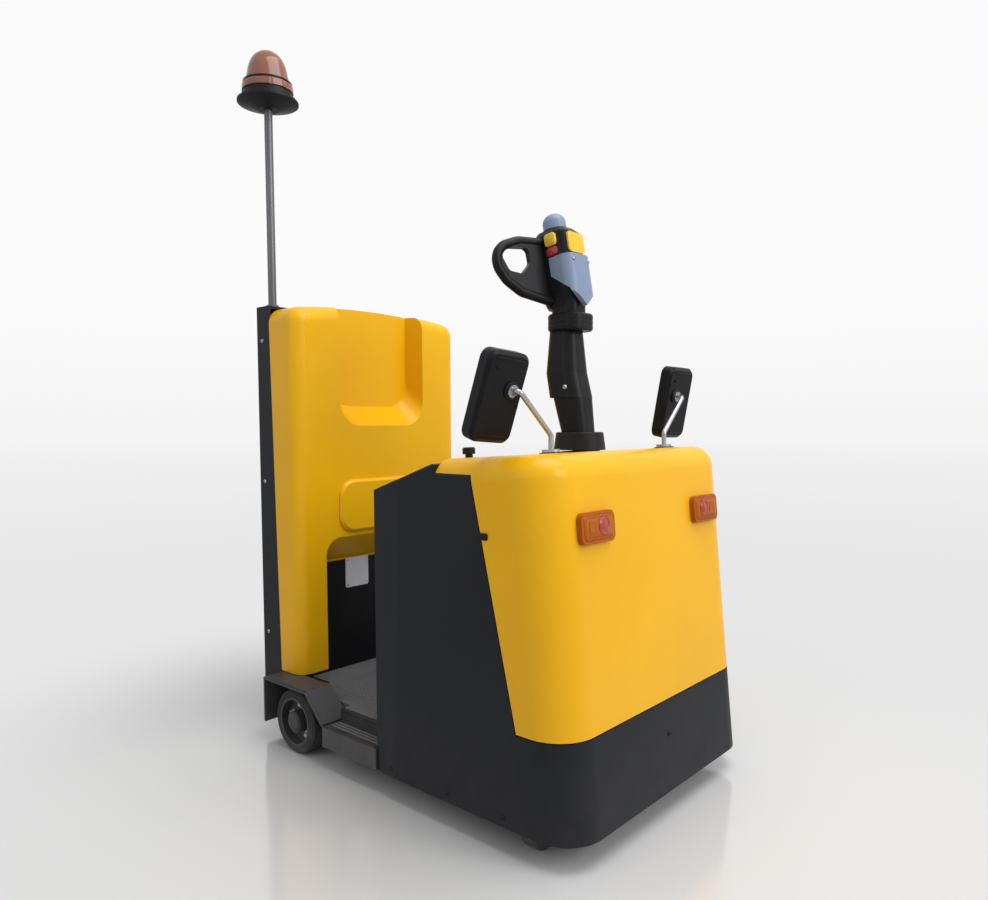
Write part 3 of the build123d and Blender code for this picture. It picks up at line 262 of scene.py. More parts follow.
def finish_material(
        name, tone, second_tone, roughness, metallic=0.0, grain_scale=300.0, grain_depth=0.0002,
        grain_spread=0.06, dust=0.0, dust_top=0.3, drift_scale=3.0, coat=0.0, specular=0.5, scuffs=0.0):
    """Finish with drifting tone, grain, scratches and floor dust."""
    material = bpy.data.materials.new(name)
    material.use_nodes = True
    tree = material.node_tree
    shader = tree.nodes["Principled BSDF"]
    place = tree.nodes.new("ShaderNodeTexCoord")
    drift = tree.nodes.new("ShaderNodeGroup")
    drift.node_tree = DRIFT
    drift.inputs["Scale"].default_value = drift_scale
    drift.inputs["First"].default_value = (*tone, 1)
    drift.inputs["Second"].default_value = (*second_tone, 1)
    dusty = tree.nodes.new("ShaderNodeGroup")
    dusty.node_tree = DUST
    dusty.inputs["Top"].default_value = dust_top
    dusty.inputs["Amount"].default_value = dust
    grain = tree.nodes.new("ShaderNodeGroup")
    grain.node_tree = GRAIN
    grain.inputs["Scale"].default_value = grain_scale
    grain.inputs["Roughness"].default_value = roughness
    grain.inputs["Spread"].default_value = grain_spread
    marks = tree.nodes.new("ShaderNodeGroup")
    marks.node_tree = SCUFFS
    marks.inputs["Amount"].default_value = scuffs
    bump = tree.nodes.new("ShaderNodeBump")
    bump.inputs["Strength"].default_value = 0.5
    bump.inputs["Distance"].default_value = grain_depth
    link = tree.links.new
    for group in (drift, dusty, grain, marks):
        link(place.outputs["Object"], group.inputs["Place"])
    link(drift.outputs["Color"], marks.inputs["Color"])
    link(marks.outputs["Color"], dusty.inputs["Color"])
    link(dusty.outputs["Color"], shader.inputs["Base Color"])
    link(grain.outputs["Roughness"], shader.inputs["Roughness"])
    link(grain.outputs["Height"], bump.inputs["Height"])
    link(bump.outputs["Normal"], shader.inputs["Normal"])
    shader.inputs["Metallic"].default_value = metallic
    shader.inputs["Coat Weight"].default_value = coat
    shader.inputs["Coat Roughness"].default_value = 0.08
    shader.inputs["Specular IOR Level"].default_value = specular
    return material


def amber_glass():
    """Tinted clear plastic of the beacon dome."""
    material = finish_material("beacon_amber", (0.56, 0.25, 0.16), (0.46, 0.18, 0.11), 0.14, grain_depth=0.00002)
    shader = material.node_tree.nodes["Principled BSDF"]
    shader.inputs["Transmission Weight"].default_value = 0.62
    shader.inputs["IOR"].default_value = 1.45
    return material


def lamp_plastic():
    """Red clear plastic of the lamps' round eyes."""
    material = finish_material("lamp_red", (0.62, 0.085, 0.055), (0.50, 0.060, 0.035), 0.16, grain_depth=0.00002)
    shader = material.node_tree.nodes["Principled BSDF"]
    shader.inputs["Transmission Weight"].default_value = 0.35
    shader.inputs["IOR"].default_value = 1.48
    return material


FINISHES = {
    "yellow_paint": finish_material(
        "yellow_paint", (0.86, 0.455, 0.004), (0.82, 0.425, 0.004), 0.32, grain_scale=420, grain_depth=0.00003,
        coat=0.06, specular=0.22),
    "charcoal_paint": finish_material(
        "charcoal_paint", (0.0110, 0.0125, 0.0160), (0.0140, 0.0150, 0.0185), 0.50, grain_scale=500,
        grain_depth=0.00010, dust=0.06, dust_top=0.30, specular=0.15, scuffs=0.10),
    "chassis_paint": finish_material(
        "chassis_paint", (0.030, 0.031, 0.035), (0.045, 0.045, 0.049), 0.48, grain_scale=450,
        grain_depth=0.00015, dust=0.25, dust_top=0.25, specular=0.35, scuffs=0.35),
    "dark_plastic": finish_material(
        "dark_plastic", (0.006, 0.006, 0.008), (0.010, 0.010, 0.012), 0.46, grain_scale=700, grain_depth=0.00012,
        specular=0.16),
    "mat_rubber": finish_material(
        "mat_rubber", (0.130, 0.132, 0.145), (0.100, 0.102, 0.112), 0.72, grain_scale=600, grain_depth=0.0003,
        dust=0.2, dust_top=0.4, specular=0.3, scuffs=0.2),
    "bright_steel": finish_material(
        "bright_steel", (0.40, 0.41, 0.43), (0.34, 0.35, 0.37), 0.34, metallic=1.0, grain_scale=260,
        grain_depth=0.00002),
    "pole_steel": finish_material(
        "pole_steel", (0.12, 0.124, 0.132), (0.100, 0.104, 0.110), 0.36, metallic=0.5, grain_scale=300,
        grain_depth=0.00002),
    "tyre_compound": finish_material(
        "tyre_compound", (0.014, 0.014, 0.016), (0.022, 0.021, 0.022), 0.70, grain_scale=500, grain_depth=0.0003,
        dust=0.30, dust_top=0.2, specular=0.25),
    "rim_paint": finish_material(
        "rim_paint", (0.022, 0.022, 0.025), (0.032, 0.032, 0.035), 0.46, grain_scale=350, grain_depth=0.00015,
        dust=0.20, dust_top=0.2, specular=0.3, scuffs=0.3),
    "battery_case": finish_material(
        "battery_case", (0.04, 0.04, 0.047), (0.05, 0.05, 0.056), 0.6, grain_depth=0.0003),
    "motor_paint": finish_material(
        "motor_paint", (0.07, 0.07, 0.078), (0.09, 0.09, 0.096), 0.5, grain_scale=200, grain_depth=0.0005,
        dust=0.25, dust_top=0.3),
    "plate_finish": finish_material(
        "plate_finish", (0.70, 0.71, 0.78), (0.76, 0.77, 0.82), 0.42, metallic=0.2, grain_depth=0.00003),
    "beacon_amber": amber_glass(),
    "lamp_red": lamp_plastic(),
    "lamp_case": finish_material(
        "lamp_case", (0.46, 0.115, 0.005), (0.38, 0.085, 0.004), 0.36, grain_depth=0.00005, specular=0.18),
    "mirror_glass": finish_material(
        "mirror_glass", (0.80, 0.82, 0.84), (0.78, 0.80, 0.82), 0.03, metallic=1.0, grain_depth=0.00001,
        grain_spread=0.01),
    "grip_plastic": finish_material(
        "grip_plastic", (0.0055, 0.0058, 0.0072), (0.0085, 0.0088, 0.0100), 0.36, grain_scale=900,
        grain_depth=0.00010, specular=0.14),
    "cap_plastic": finish_material(
        "cap_plastic", (0.205, 0.265, 0.385), (0.175, 0.225, 0.325), 0.38, grain_scale=700, grain_depth=0.00005,
        specular=0.35),
    "switch_yellow": finish_material(
        "switch_yellow", (0.80, 0.50, 0.03), (0.72, 0.42, 0.03), 0.38, grain_scale=700, grain_depth=0.00005,
        specular=0.3),
    "button_red": finish_material(
        "button_red", (0.34, 0.022, 0.035), (0.28, 0.016, 0.026), 0.32, grain_depth=0.00005),
    "coupling_iron": finish_material(
        "coupling_iron", (0.025, 0.025, 0.028), (0.036, 0.035, 0.036), 0.55, metallic=0.2, grain_scale=160,
        grain_depth=0.0006),
}


def dress_nodes():
    """Give every carried-over solid the finish that the record names for it."""
    for row in frame["record"]["subparts"]:
        mesh = nodes[row["node"]].data
        mesh.materials.clear()
        mesh.materials.append(FINISHES[row["material_slot"]])


dress_nodes()


# Mesh helpers


def stand(origin, axis):
    """Place whose local z points along an axis."""
    return Matrix.Translation(origin) @ Vector(axis).to_track_quat("Z", "Y").to_matrix().to_4x4()


def facing(origin, across, normal):
    """Place whose local x runs across and local z points out along the normal."""
    across = Vector(across).normalized()
    normal = Vector(normal).normalized()
    turn = Matrix((across, normal.cross(across), normal)).transposed()
    return Matrix.Translation(origin) @ turn.to_4x4()


def join_rings(shape, rings):
    """Faces between successive rings; a ring of one point closes to a tip."""
    for low, high in zip(rings, rings[1:]):
        count = max(len(low), len(high))
        for step in range(count):
            after = (step + 1) % count
            if len(low) == 1:
                shape.faces.new((low[0], high[after], high[step]))
            elif len(high) == 1:
                shape.faces.new((low[step], low[after], high[0]))
            else:
                shape.faces.new((low[step], low[after], high[after], high[step]))


def lathe(shape, place, profile, steps=40, flutes=0, flute_depth=0.0):
    """Turned form from radius and height pairs, with optional flutes round it."""
    rings = []
    for radius, height in profile:
        if radius == 0:
            rings.append([shape.verts.new(place @ Vector((0, 0, height)))])
            continue
        ring = []
        for step in range(steps):
            angle = 2 * math.pi * step / steps
            reach = radius + flute_depth * math.cos(flutes * angle)
            ring.append(shape.verts.new(place @ Vector((reach * math.cos(angle), reach * math.sin(angle), height))))
        rings.append(ring)
    join_rings(shape, rings)


def rounded_outline(width, height, corner, inset):
    """Points round a rounded rectangle that is drawn in by an inset."""
    radius = max(corner - inset, 0.0006)
    points = []
    for way_x, way_y, start in ((1, 1, 0), (-1, 1, 90), (-1, -1, 180), (1, -1, 270)):
        for step in range(7):
            angle = math.radians(start + 15 * step)
            points.append((
                way_x * (width / 2 - inset - radius) + radius * math.cos(angle),
                way_y * (height / 2 - inset - radius) + radius * math.sin(angle),
            ))
    return points


def pillow(shape, place, width, height, corner, levels):
    """Rounded plate whose rim follows inset and height pairs, closed at both ends."""
    rings = []
    for inset, rise in levels:
        outline = rounded_outline(width, height, corner, inset)
        rings.append([shape.verts.new(place @ Vector((x, y, rise))) for x, y in outline])
    join_rings(shape, rings)
    shape.faces.new(list(reversed(rings[0])))
    shape.faces.new(rings[-1])


def block(shape, place, size, edge):
    """Bevelled block centred on a place."""
    made = bmesh.ops.create_cube(shape, size=1.0)["verts"]
    bmesh.ops.transform(shape, matrix=place @ Matrix.Diagonal((*size, 1)), verts=made)
    edges = list({e for v in made for e in v.link_edges})
    bmesh.ops.bevel(shape, geom=edges, offset=edge, segments=2, affect="EDGES", profile=0.7)


def ridge(shape, start_x, end_x, y, z, width, height):
    """Low bead with sloping sides and ends, running fore and aft."""
    feet = ((start_x, -1), (start_x, 1), (end_x, 1), (end_x, -1))
    low = [shape.verts.new((x, y + way * width / 2, z)) for x, way in feet]
    slope = height * 0.7
    ends = (start_x + slope, start_x + slope, end_x - slope, end_x - slope)
    high = [
        shape.verts.new((x, y + way * (width / 2 - slope), z + height))
        for x, (_, way) in zip(ends, feet)]
    join_rings(shape, [low, high])
    shape.faces.new(list(reversed(low)))
    shape.faces.new(high)


SMALL_BOLT_ACROSS = 0.013
SMALL_BOLT_HEAD = 0.006


def hex_bolt(shape, origin, axis, across=SMALL_BOLT_ACROSS, head=SMALL_BOLT_HEAD):
    """Washer with a chamfered six sided head on it."""
    place = stand(origin, axis)
    washer = across * 0.85
    lathe(shape, place, ((0, 0), (washer, 0), (washer, 0.0012), (washer - 0.0004, 0.0016), (0, 0.0016)), steps=20)
    flat = across / 2 / math.cos(math.pi / 6)
    lathe(shape, place, (
        (0, 0.0016), (flat, 0.0016), (flat, head), (flat * 0.86, head + 0.0012), (0, head + 0.0012)), steps=6)


def button_screw(shape, origin, axis, radius=0.006):
    """Domed screw with a sunk socket."""
    place = stand(origin, axis)
    lathe(shape, place, (
        (0, -0.001), (radius, -0.001), (radius, radius * 0.15), (radius * 0.85, radius * 0.4),
        (radius * 0.55, radius * 0.52), (radius * 0.42, radius * 0.50), (radius * 0.36, radius * 0.15),
        (0, radius * 0.15)), steps=18)


def finish_piece(name, shape, body, slot):
    """Turn a built shape into a piece that rides on a body and takes a slot's finish."""
    bmesh.ops.recalc_face_normals(shape, faces=shape.faces)
    mesh = bpy.data.meshes.new(name)
    shape.to_mesh(mesh)
    shape.free()
    mesh.polygons.foreach_set("use_smooth", [True] * len(mesh.polygons))
    mesh.set_sharp_from_angle(angle=math.radians(38))
    mesh.materials.append(FINISHES[slot])
    piece = bpy.data.objects.new(name, mesh)
    bpy.context.scene.collection.objects.link(piece)
    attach(piece, body)
    return piece


def mixed(near, far, share):
    """Value a share of the way between two."""
    return near + (far - near) * share


# Wheels: hub caps, bolts and axle nuts
REAR_WHEEL = Vector((-0.320, 0.3575, 0.090))
REAR_FACE_Y = 0.392
REAR_WEB_Y = 0.368
REAR_BOLTS = 5
REAR_FIRST_BOLT = 18
REAR_BOLT_CIRCLE = 0.046
HUB_CAP_PROFILE = (
    (0, 0), (0.026, 0), (0.026, 0.0015), (0.0245, 0.003), (0.015, 0.0042), (0.013, 0.0036), (0.006, 0.0046),
    (0, 0.0048))
TYRE_BEADS = (0.0715, 0.0785)
DRIVE_WEB = Vector((0.384, -0.0105, 0.115))
DRIVE_NUTS = 6
DRIVE_NUT_CIRCLE = 0.060
LARGE_NUT_ACROSS = 0.016
LARGE_NUT_HEAD = 0.008


def bolt_circle(shape, centre, out, radius, count, first, across, head):
    """Bolts evenly round a wheel's axle."""
    for step in range(count):
        angle = math.radians(first + 360 / count * step)
        origin = centre + Vector((radius * math.cos(angle), 0, radius * math.sin(angle)))
        hex_bolt(shape, origin, out, across, head)


def dress_rear_wheel(side, word):
    """Hub cap on the outer face, bolts on the web and two beads on the tyre's wall."""
    body = "rear_wheel_" + word
    out = Vector((0, side, 0))
    face = stand((REAR_WHEEL.x, side * REAR_FACE_Y, REAR_WHEEL.z), out)
    cap = bmesh.new()
    lathe(cap, face, HUB_CAP_PROFILE, steps=44)
    finish_piece("rear_hub_cap_" + word, cap, body, "rim_paint")
    bolts = bmesh.new()
    web = Vector((REAR_WHEEL.x, side * REAR_WEB_Y, REAR_WHEEL.z))
    bolt_circle(
        bolts, web, out, REAR_BOLT_CIRCLE, REAR_BOLTS, REAR_FIRST_BOLT, SMALL_BOLT_ACROSS, SMALL_BOLT_HEAD)
    finish_piece("rear_wheel_bolts_" + word, bolts, body, "bright_steel")
    bead = bmesh.new()
    for radius in TYRE_BEADS:
        lathe(bead, face, (
            (radius - 0.0016, -0.0005), (radius - 0.0010, 0.0008), (radius, 0.0012), (radius + 0.0010, 0.0008),
            (radius + 0.0016, -0.0005), (radius - 0.0016, -0.0005)), steps=60)
    finish_piece("rear_tyre_beads_" + word, bead, body, "tyre_compound")


CASTOR_PIVOT = Vector((0.515, 0.296, 0.0))
CASTOR_TRAIL = 0.022
CASTOR_AXLE_Z = 0.060
CASTOR_CHEEK_OUT = 0.028
GREASE_RING_Z = 0.1402


def dress_castor(side, word):
    """Axle nuts on the cheeks and the grease ring under the tower."""
    pivot = Vector((CASTOR_PIVOT.x, side * CASTOR_PIVOT.y, 0))
    nuts = bmesh.new()
    for way in (-1, 1):
        origin = pivot + Vector((way * CASTOR_CHEEK_OUT, -CASTOR_TRAIL, CASTOR_AXLE_Z))
        hex_bolt(nuts, origin, (way, 0, 0), LARGE_NUT_ACROSS, LARGE_NUT_HEAD)
    lathe(nuts, stand(pivot + Vector((0, 0, GREASE_RING_Z)), (0, 0, 1)), (
        (0.0225, 0), (0.0265, 0.0008), (0.0275, 0.003), (0.0265, 0.0052), (0.0225, 0.006)), steps=36)
    finish_piece("castor_nuts_" + word, nuts, "castor_" + word, "bright_steel")


def dress_drive_wheel():
    """Wheel nuts on the driven wheel's web."""
    nuts = bmesh.new()
    bolt_circle(
        nuts, DRIVE_WEB, (0, -1, 0), DRIVE_NUT_CIRCLE, DRIVE_NUTS, 0, LARGE_NUT_ACROSS, LARGE_NUT_HEAD)
    finish_piece("drive_wheel_nuts", nuts, "drive_wheel", "bright_steel")


# Platform: ribbed mat, step edges and fender trim
MAT_TOP_Z = 0.150
STEP_TOP_Z = 0.115
CONSOLE_X = 0.045
RIB_PITCH = 0.012
RIBS_EACH_SIDE = 26
RIB_REAR_X = -0.365
MAT_WAIST_Y = 0.298
WIDE_RIB_REAR_X = -0.166
STEP_MIDDLE_X = -0.068
STEP_LENGTH = 0.212
TREAD_ROWS = (0.350, 0.362, 0.374)
FENDER_TOP_Z = 0.192


def lay_mat_ribs():
    """Fore and aft ribs moulded on the standing mat."""
    ribs = bmesh.new()
    for step in range(-RIBS_EACH_SIDE, RIBS_EACH_SIDE + 1):
        y = step * RIB_PITCH
        start = RIB_REAR_X if abs(y) < MAT_WAIST_Y else WIDE_RIB_REAR_X
        ridge(ribs, start, CONSOLE_X - 0.006, y, MAT_TOP_Z - 0.0002, 0.0055, 0.0018)
    finish_piece("mat_ribs", ribs, "chassis", "mat_rubber")


def fit_step_edges():
    """Dark nosings and tread beads on both side steps."""
    edges = bmesh.new()
    treads = bmesh.new()
    for side in (-1, 1):
        low = Matrix.Translation((STEP_MIDDLE_X, side * 0.3925, STEP_TOP_Z + 0.0012))
        block(edges, low, (STEP_LENGTH, 0.013, 0.0026), 0.001)
        high = Matrix.Translation((STEP_MIDDLE_X, side * 0.3372, MAT_TOP_Z - 0.0035))
        block(edges, high, (STEP_LENGTH, 0.0045, 0.009), 0.0012)
        for y in TREAD_ROWS:
            ridge(treads, -0.168, 0.036, side * y, STEP_TOP_Z - 0.0002, 0.006, 0.002)
    finish_piece("step_nosings", edges, "chassis", "rim_paint")
    finish_piece("step_treads", treads, "chassis", "mat_rubber")


def fit_fender_trim():
    """Bead along each fender's outer edge, with two screws."""
    beads = bmesh.new()
    screws = bmesh.new()
    for side in (-1, 1):
        place = Matrix.Translation((-0.357, side * 0.3965, FENDER_TOP_Z + 0.0012))
        block(beads, place, (0.200, 0.006, 0.003), 0.0012)
        for x in (-0.440, -0.275):
            button_screw(screws, (x, side * 0.360, FENDER_TOP_Z), (0, 0, 1))
    finish_piece("fender_beads", beads, "chassis", "rim_paint")
    finish_piece("fender_screws", screws, "chassis", "chassis_paint")


# Beacon: amber shell with inner flutes, round a turning reflector; heights are above the foot
BEACON_FOOT = Vector((-0.524, -0.300, 1.852))
DOME_PROFILE = (
    (0.0640, 0.070), (0.0617, 0.082), (0.0593, 0.095), (0.0570, 0.108), (0.0543, 0.120), (0.0500, 0.132),
    (0.0440, 0.1435), (0.0365, 0.1525), (0.0270, 0.1600), (0.0160, 0.1655), (0.0060, 0.1680))
DOME_WALL = 0.0026


FLUTES = 36
FLANGE_SCREWS = 3
FLANGE_SCREW_CIRCLE = 0.080
FLANGE_SCREW_Z = 0.0275


def build_beacon_shell(up):
    """Thin dome, smooth outside and fluted inside."""
    dome = bmesh.new()
    lathe(dome, up, (*DOME_PROFILE, (0, 0.1680)), steps=72)
    inner = [(max(radius - DOME_WALL, 0.003), height - DOME_WALL * 0.6) for radius, height in DOME_PROFILE]
    inner[0] = (DOME_PROFILE[0][0] - DOME_WALL, DOME_PROFILE[0][1])
    lathe(dome, up, (DOME_PROFILE[0], inner[0]), steps=72)
    lathe(dome, up, (*inner, (0, 0.1655)), steps=144, flutes=FLUTES, flute_depth=0.0006)
    bmesh.ops.remove_doubles(dome, verts=dome.verts, dist=0.00002)
    shell = finish_piece("beacon_shell", dome, "chassis", "beacon_amber")
    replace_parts(shell, "beacon_dome")


def build_beacon_lamp(up):
    """Turning base inside the dome, with the bulb and its angled reflector."""
    rotor = bmesh.new()
    lathe(rotor, up, (
        (0, 0.0705), (0.050, 0.0705), (0.050, 0.078), (0.046, 0.084), (0.020, 0.086), (0.018, 0.096), (0, 0.096)))
    finish_piece("beacon_rotor", rotor, "chassis", "dark_plastic")
    bulb = bmesh.new()
    lathe(bulb, up, (
        (0, 0.0955), (0.008, 0.0955), (0.008, 0.104), (0.0125, 0.112), (0.0125, 0.122), (0.008, 0.131), (0, 0.134)),
        steps=28)
    block(bulb, up @ Matrix.Translation((-0.018, 0.006, 0.112)), (0.005, 0.054, 0.044), 0.002)
    block(bulb, up @ Matrix.Translation((-0.010, -0.020, 0.112)), (0.018, 0.004, 0.040), 0.0015)
    finish_piece("beacon_bulb", bulb, "chassis", "plate_finish")


def build_beacon_rim(up):
    """Gasket under the dome, flange screws, and the amber skirt round the base."""
    gasket = bmesh.new()
    lathe(gasket, up, (
        (0.0655, 0.069), (0.0700, 0.0695), (0.0712, 0.073), (0.0700, 0.0765), (0.0648, 0.077), (0.0645, 0.069)),
        steps=72)
    for step in range(FLANGE_SCREWS):
        angle = math.radians(30 + 360 / FLANGE_SCREWS * step)
        reach = Vector((math.cos(angle), math.sin(angle), 0)) * FLANGE_SCREW_CIRCLE
        button_screw(gasket, BEACON_FOOT + reach + Vector((0, 0, FLANGE_SCREW_Z)), (0, 0, 1), radius=0.005)
    finish_piece("beacon_gasket", gasket, "chassis", "dark_plastic")
    skirt = bmesh.new()
    lathe(skirt, up, (
        (0.0706, 0.050), (0.0734, 0.050), (0.0731, 0.058), (0.0722, 0.066), (0.0716, 0.0690), (0.0704, 0.0690),
        (0.0706, 0.050)), steps=144, flutes=FLUTES, flute_depth=0.0004)
    bmesh.ops.remove_doubles(skirt, verts=skirt.verts, dist=0.00002)
    finish_piece("beacon_skirt", skirt, "chassis", "beacon_amber")


def build_beacon():
    """Everything that stands on the beacon's base, from its dome inwards."""
    up = stand(BEACON_FOOT, (0, 0, 1))
    build_beacon_shell(up)
    build_beacon_lamp(up)
    build_beacon_rim(up)


# Front lamps: moulded cover with a bull's eye and a small reflector
LAMP_Y = 0.247
LAMP_Z = 0.710
RAKE = math.atan(0.097)
FRONT_FOOT = Vector((0.660, 0, 0.060))


def front_point(y, z):
    """Point on the raked front face."""
    return Vector((FRONT_FOOT.x - math.tan(RAKE) * (z - FRONT_FOOT.z), y, z))


def build_lamps():
    """Covers, bull's eyes and small reflectors of both front lamps."""
    normal = (math.cos(RAKE), 0, math.sin(RAKE))
    covers = bmesh.new()
    eyes = bmesh.new()
    for side in (-1, 1):
        place = facing(front_point(side * LAMP_Y, LAMP_Z), (0, 1, 0), normal)
        pillow(covers, place, 0.1094, 0.0534, 0.0087, (
            (0, 0), (0, 0.0135), (0.0015, 0.0155), (0.0045, 0.0165)))
        round_eye = place @ Matrix.Translation((-side * 0.017, 0.003, 0.0160))
        lathe(eyes, round_eye, (
            (0.0205, 0), (0.0205, 0.0018), (0.0190, 0.0026), (0.0170, 0.0018), (0.0150, 0.0028), (0.0130, 0.0022),
            (0.0110, 0.0033), (0.0085, 0.0030), (0.0060, 0.0039), (0, 0.0042)), steps=48)
        small = place @ Matrix.Translation((side * 0.026, 0.003, 0.0160))
        pillow(covers, small, 0.024, 0.026, 0.004, ((0, 0), (0, 0.0012), (0.001, 0.002), (0.003, 0.0016)))
        for level in (-0.019, -0.0215, 0.0235):
            bead = place @ Matrix.Translation((0, level, 0.0163))
            pillow(covers, bead, 0.092, 0.0012, 0.0005, ((0, 0), (0.0001, 0.0008)))
    lamps = finish_piece("lamp_covers", covers, "chassis", "lamp_case")
    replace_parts(lamps, "lamp_lenses")
    finish_piece("lamp_eyes", eyes, "chassis", "lamp_red")


# Tiller head controls, in the head's own leaning frame
HEAD_TILT = math.radians(10)
HEAD_X = Vector((math.cos(HEAD_TILT), 0, math.sin(HEAD_TILT)))
HEAD_UP = Vector((-math.sin(HEAD_TILT), 0, math.cos(HEAD_TILT)))
HEAD_FOOT = Vector((0.343, 0, 1.208))


def head_point(forward, left, up):
    """Point given along the head's own directions."""
    return HEAD_FOOT + HEAD_X * forward + Vector((0, left, 0)) + HEAD_UP * up


def build_head_controls():
    """Thumb paddles, side buttons, reverse button, seams and screws of the tiller head."""
    paddles = bmesh.new()
    buttons = bmesh.new()
    for side in (-1, 1):
        out = Vector((0, side, 0))
        place = facing(head_point(0.015, side * 0.046, 0.183), HEAD_X, out)
        pillow(paddles, place, 0.034, 0.032, 0.009, ((0, 0), (0, 0.005), (0.0012, 0.0068), (0.004, 0.0078)))
        for row in (-0.006, 0, 0.006):
            grip = place @ Matrix.Translation((0, row, 0.0077))
            pillow(paddles, grip, 0.018, 0.0018, 0.0008, ((0, 0), (0.0002, 0.0008)))
        low = facing(head_point(0.015, side * 0.046, 0.153), HEAD_X, out)
        pillow(buttons, low, 0.034, 0.022, 0.009, ((0, 0), (0, 0.0036), (0.0014, 0.0052), (0.0045, 0.006)))
    worn = finish_piece("thumb_paddles", paddles, "steering_unit", "switch_yellow")
    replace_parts(worn, "thumb_switches")
    red = finish_piece("side_push_buttons", buttons, "steering_unit", "button_red")
    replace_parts(red, "side_buttons")
    belly = bmesh.new()
    lathe(belly, stand(head_point(-0.054, 0, 0.112), -HEAD_X), (
        (0, 0), (0.019, 0), (0.019, 0.005), (0.0175, 0.008), (0.011, 0.0098), (0, 0.010)), steps=40)
    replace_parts(finish_piece("reverse_push_button", belly, "steering_unit", "button_red"), "reverse_button")
    seams = bmesh.new()
    lathe(seams, stand(head_point(-0.054, 0, 0.112), -HEAD_X), (
        (0.0205, 0), (0.0235, 0), (0.0232, 0.0025), (0.0215, 0.003), (0.0205, 0.002)), steps=40)
    lathe(seams, stand(head_point(0, 0, 0.215), HEAD_UP), (
        (0.0303, 0), (0.0345, 0), (0.0343, 0.0028), (0.0325, 0.004), (0.0303, 0.0032)), steps=44)
    finish_piece("head_seams", seams, "steering_unit", "grip_plastic")
    screws = bmesh.new()
    for left in (-0.030, 0.030):
        button_screw(screws, head_point(0.066, left, 0.122), HEAD_X, radius=0.0042)
    for side in (-1, 1):
        button_screw(screws, (0.370, side * 0.0450, 1.023), (0, side, 0), radius=0.0062)
    finish_piece("tiller_screws", screws, "steering_unit", "bright_steel")
    ring = bmesh.new()
    for level in (0.010, 0.0215, 0.033):
        place = Matrix.Translation((0.354, 0, 1.165 + level))
        pillow(ring, place, 0.1052, 0.0972, 0.0346, ((0.0008, -0.002), (0, -0.0008), (0, 0.0008), (0.0008, 0.002)))
    finish_piece("ring_beads", ring, "steering_unit", "grip_plastic")


# Hood, bumper, panels and backrest hardware
SEAM_FOOT = (0.504, 0.275)
SEAM_TOP = (0.374, 0.821)
DECK_Z = 0.852
DECK_X = 0.264
DECK_SLOPE = 0.063
CATCH_Z = 0.689
SIDE_Y = 0.400
BACK_X = -0.566
COUPLING_PLATE_X = -0.578


def deck_point(x, y):
    """Point on the gently rising hood top."""
    return Vector((x, y, DECK_Z + DECK_SLOPE * (x - DECK_X)))


def fit_hood_hardware():
    """Side catches over the seam, rubber ring round the tiller's hole, pads under the mirror feet."""
    rubber = bmesh.new()
    deck_up = Vector((-DECK_SLOPE, 0, 1)).normalized()
    lathe(rubber, stand(deck_point(0.384, 0), deck_up), (
        (0.0395, -0.002), (0.0395, 0.003), (0.042, 0.0042), (0.050, 0.0036), (0.052, 0.001), (0.052, -0.001)),
        steps=56)
    for side in (-1, 1):
        lathe(rubber, stand(deck_point(0.484, side * 0.250), deck_up), (
            (0.0202, -0.001), (0.0202, 0.0026), (0.0245, 0.0026), (0.0262, 0.0014), (0.0265, -0.001)), steps=40)
        share = (CATCH_Z - SEAM_FOOT[1]) / (SEAM_TOP[1] - SEAM_FOOT[1])
        seam_x = mixed(SEAM_FOOT[0], SEAM_TOP[0], share)
        catch = facing((seam_x + 0.010, side * SIDE_Y, CATCH_Z), (1, 0, 0), (0, side, 0))
        pillow(rubber, catch, 0.026, 0.015, 0.004, ((0, -0.001), (0, 0.003), (0.001, 0.004), (0.003, 0.0045)))
    finish_piece("hood_rubber", rubber, "chassis", "dark_plastic")


def fit_bumper_hardware():
    """One bolt in the middle of the bumper and a row of fixings under its sides."""
    bolts = bmesh.new()
    normal = (math.cos(RAKE), 0, math.sin(RAKE))
    button_screw(bolts, front_point(0, 0.194), normal, radius=0.007)
    for side in (-1, 1):
        for x in (0.100, 0.300, 0.470):
            button_screw(bolts, (x, side * SIDE_Y, 0.080), (0, side, 0), radius=0.006)
    finish_piece("bumper_screws", bolts, "chassis", "charcoal_paint")


def fit_back_hardware():
    """Bolts on the backrest's dark channel, its sides and the coupling plate."""
    bolts = bmesh.new()
    for side in (-1, 1):
        for z in (0.160, 0.440, 0.720, 1.000, 1.230):
            hex_bolt(bolts, (BACK_X, side * 0.300, z), (-1, 0, 0))
        for z in (0.300, 0.760, 1.180):
            button_screw(bolts, (-0.540, side * 0.328, z), (0, side, 0))
        for z in (0.228, 0.372):
            hex_bolt(bolts, (COUPLING_PLATE_X, side * 0.058, z), (-1, 0, 0), across=0.017, head=0.008)
    finish_piece("back_bolts", bolts, "chassis", "bright_steel")


def press_back_beads():
    """Three upright stiffening beads pressed in the backrest's channel."""
    stiffeners = bmesh.new()
    for y in (-0.180, 0.0, 0.180):
        place = facing((BACK_X, y, 0.830), (0, 1, 0), (-1, 0, 0))
        pillow(stiffeners, place, 0.060, 0.640, 0.028, ((0, 0), (0.002, 0.0025), (0.006, 0.0045), (0.012, 0.005)))
    finish_piece("back_stiffeners", stiffeners, "chassis", "charcoal_paint")


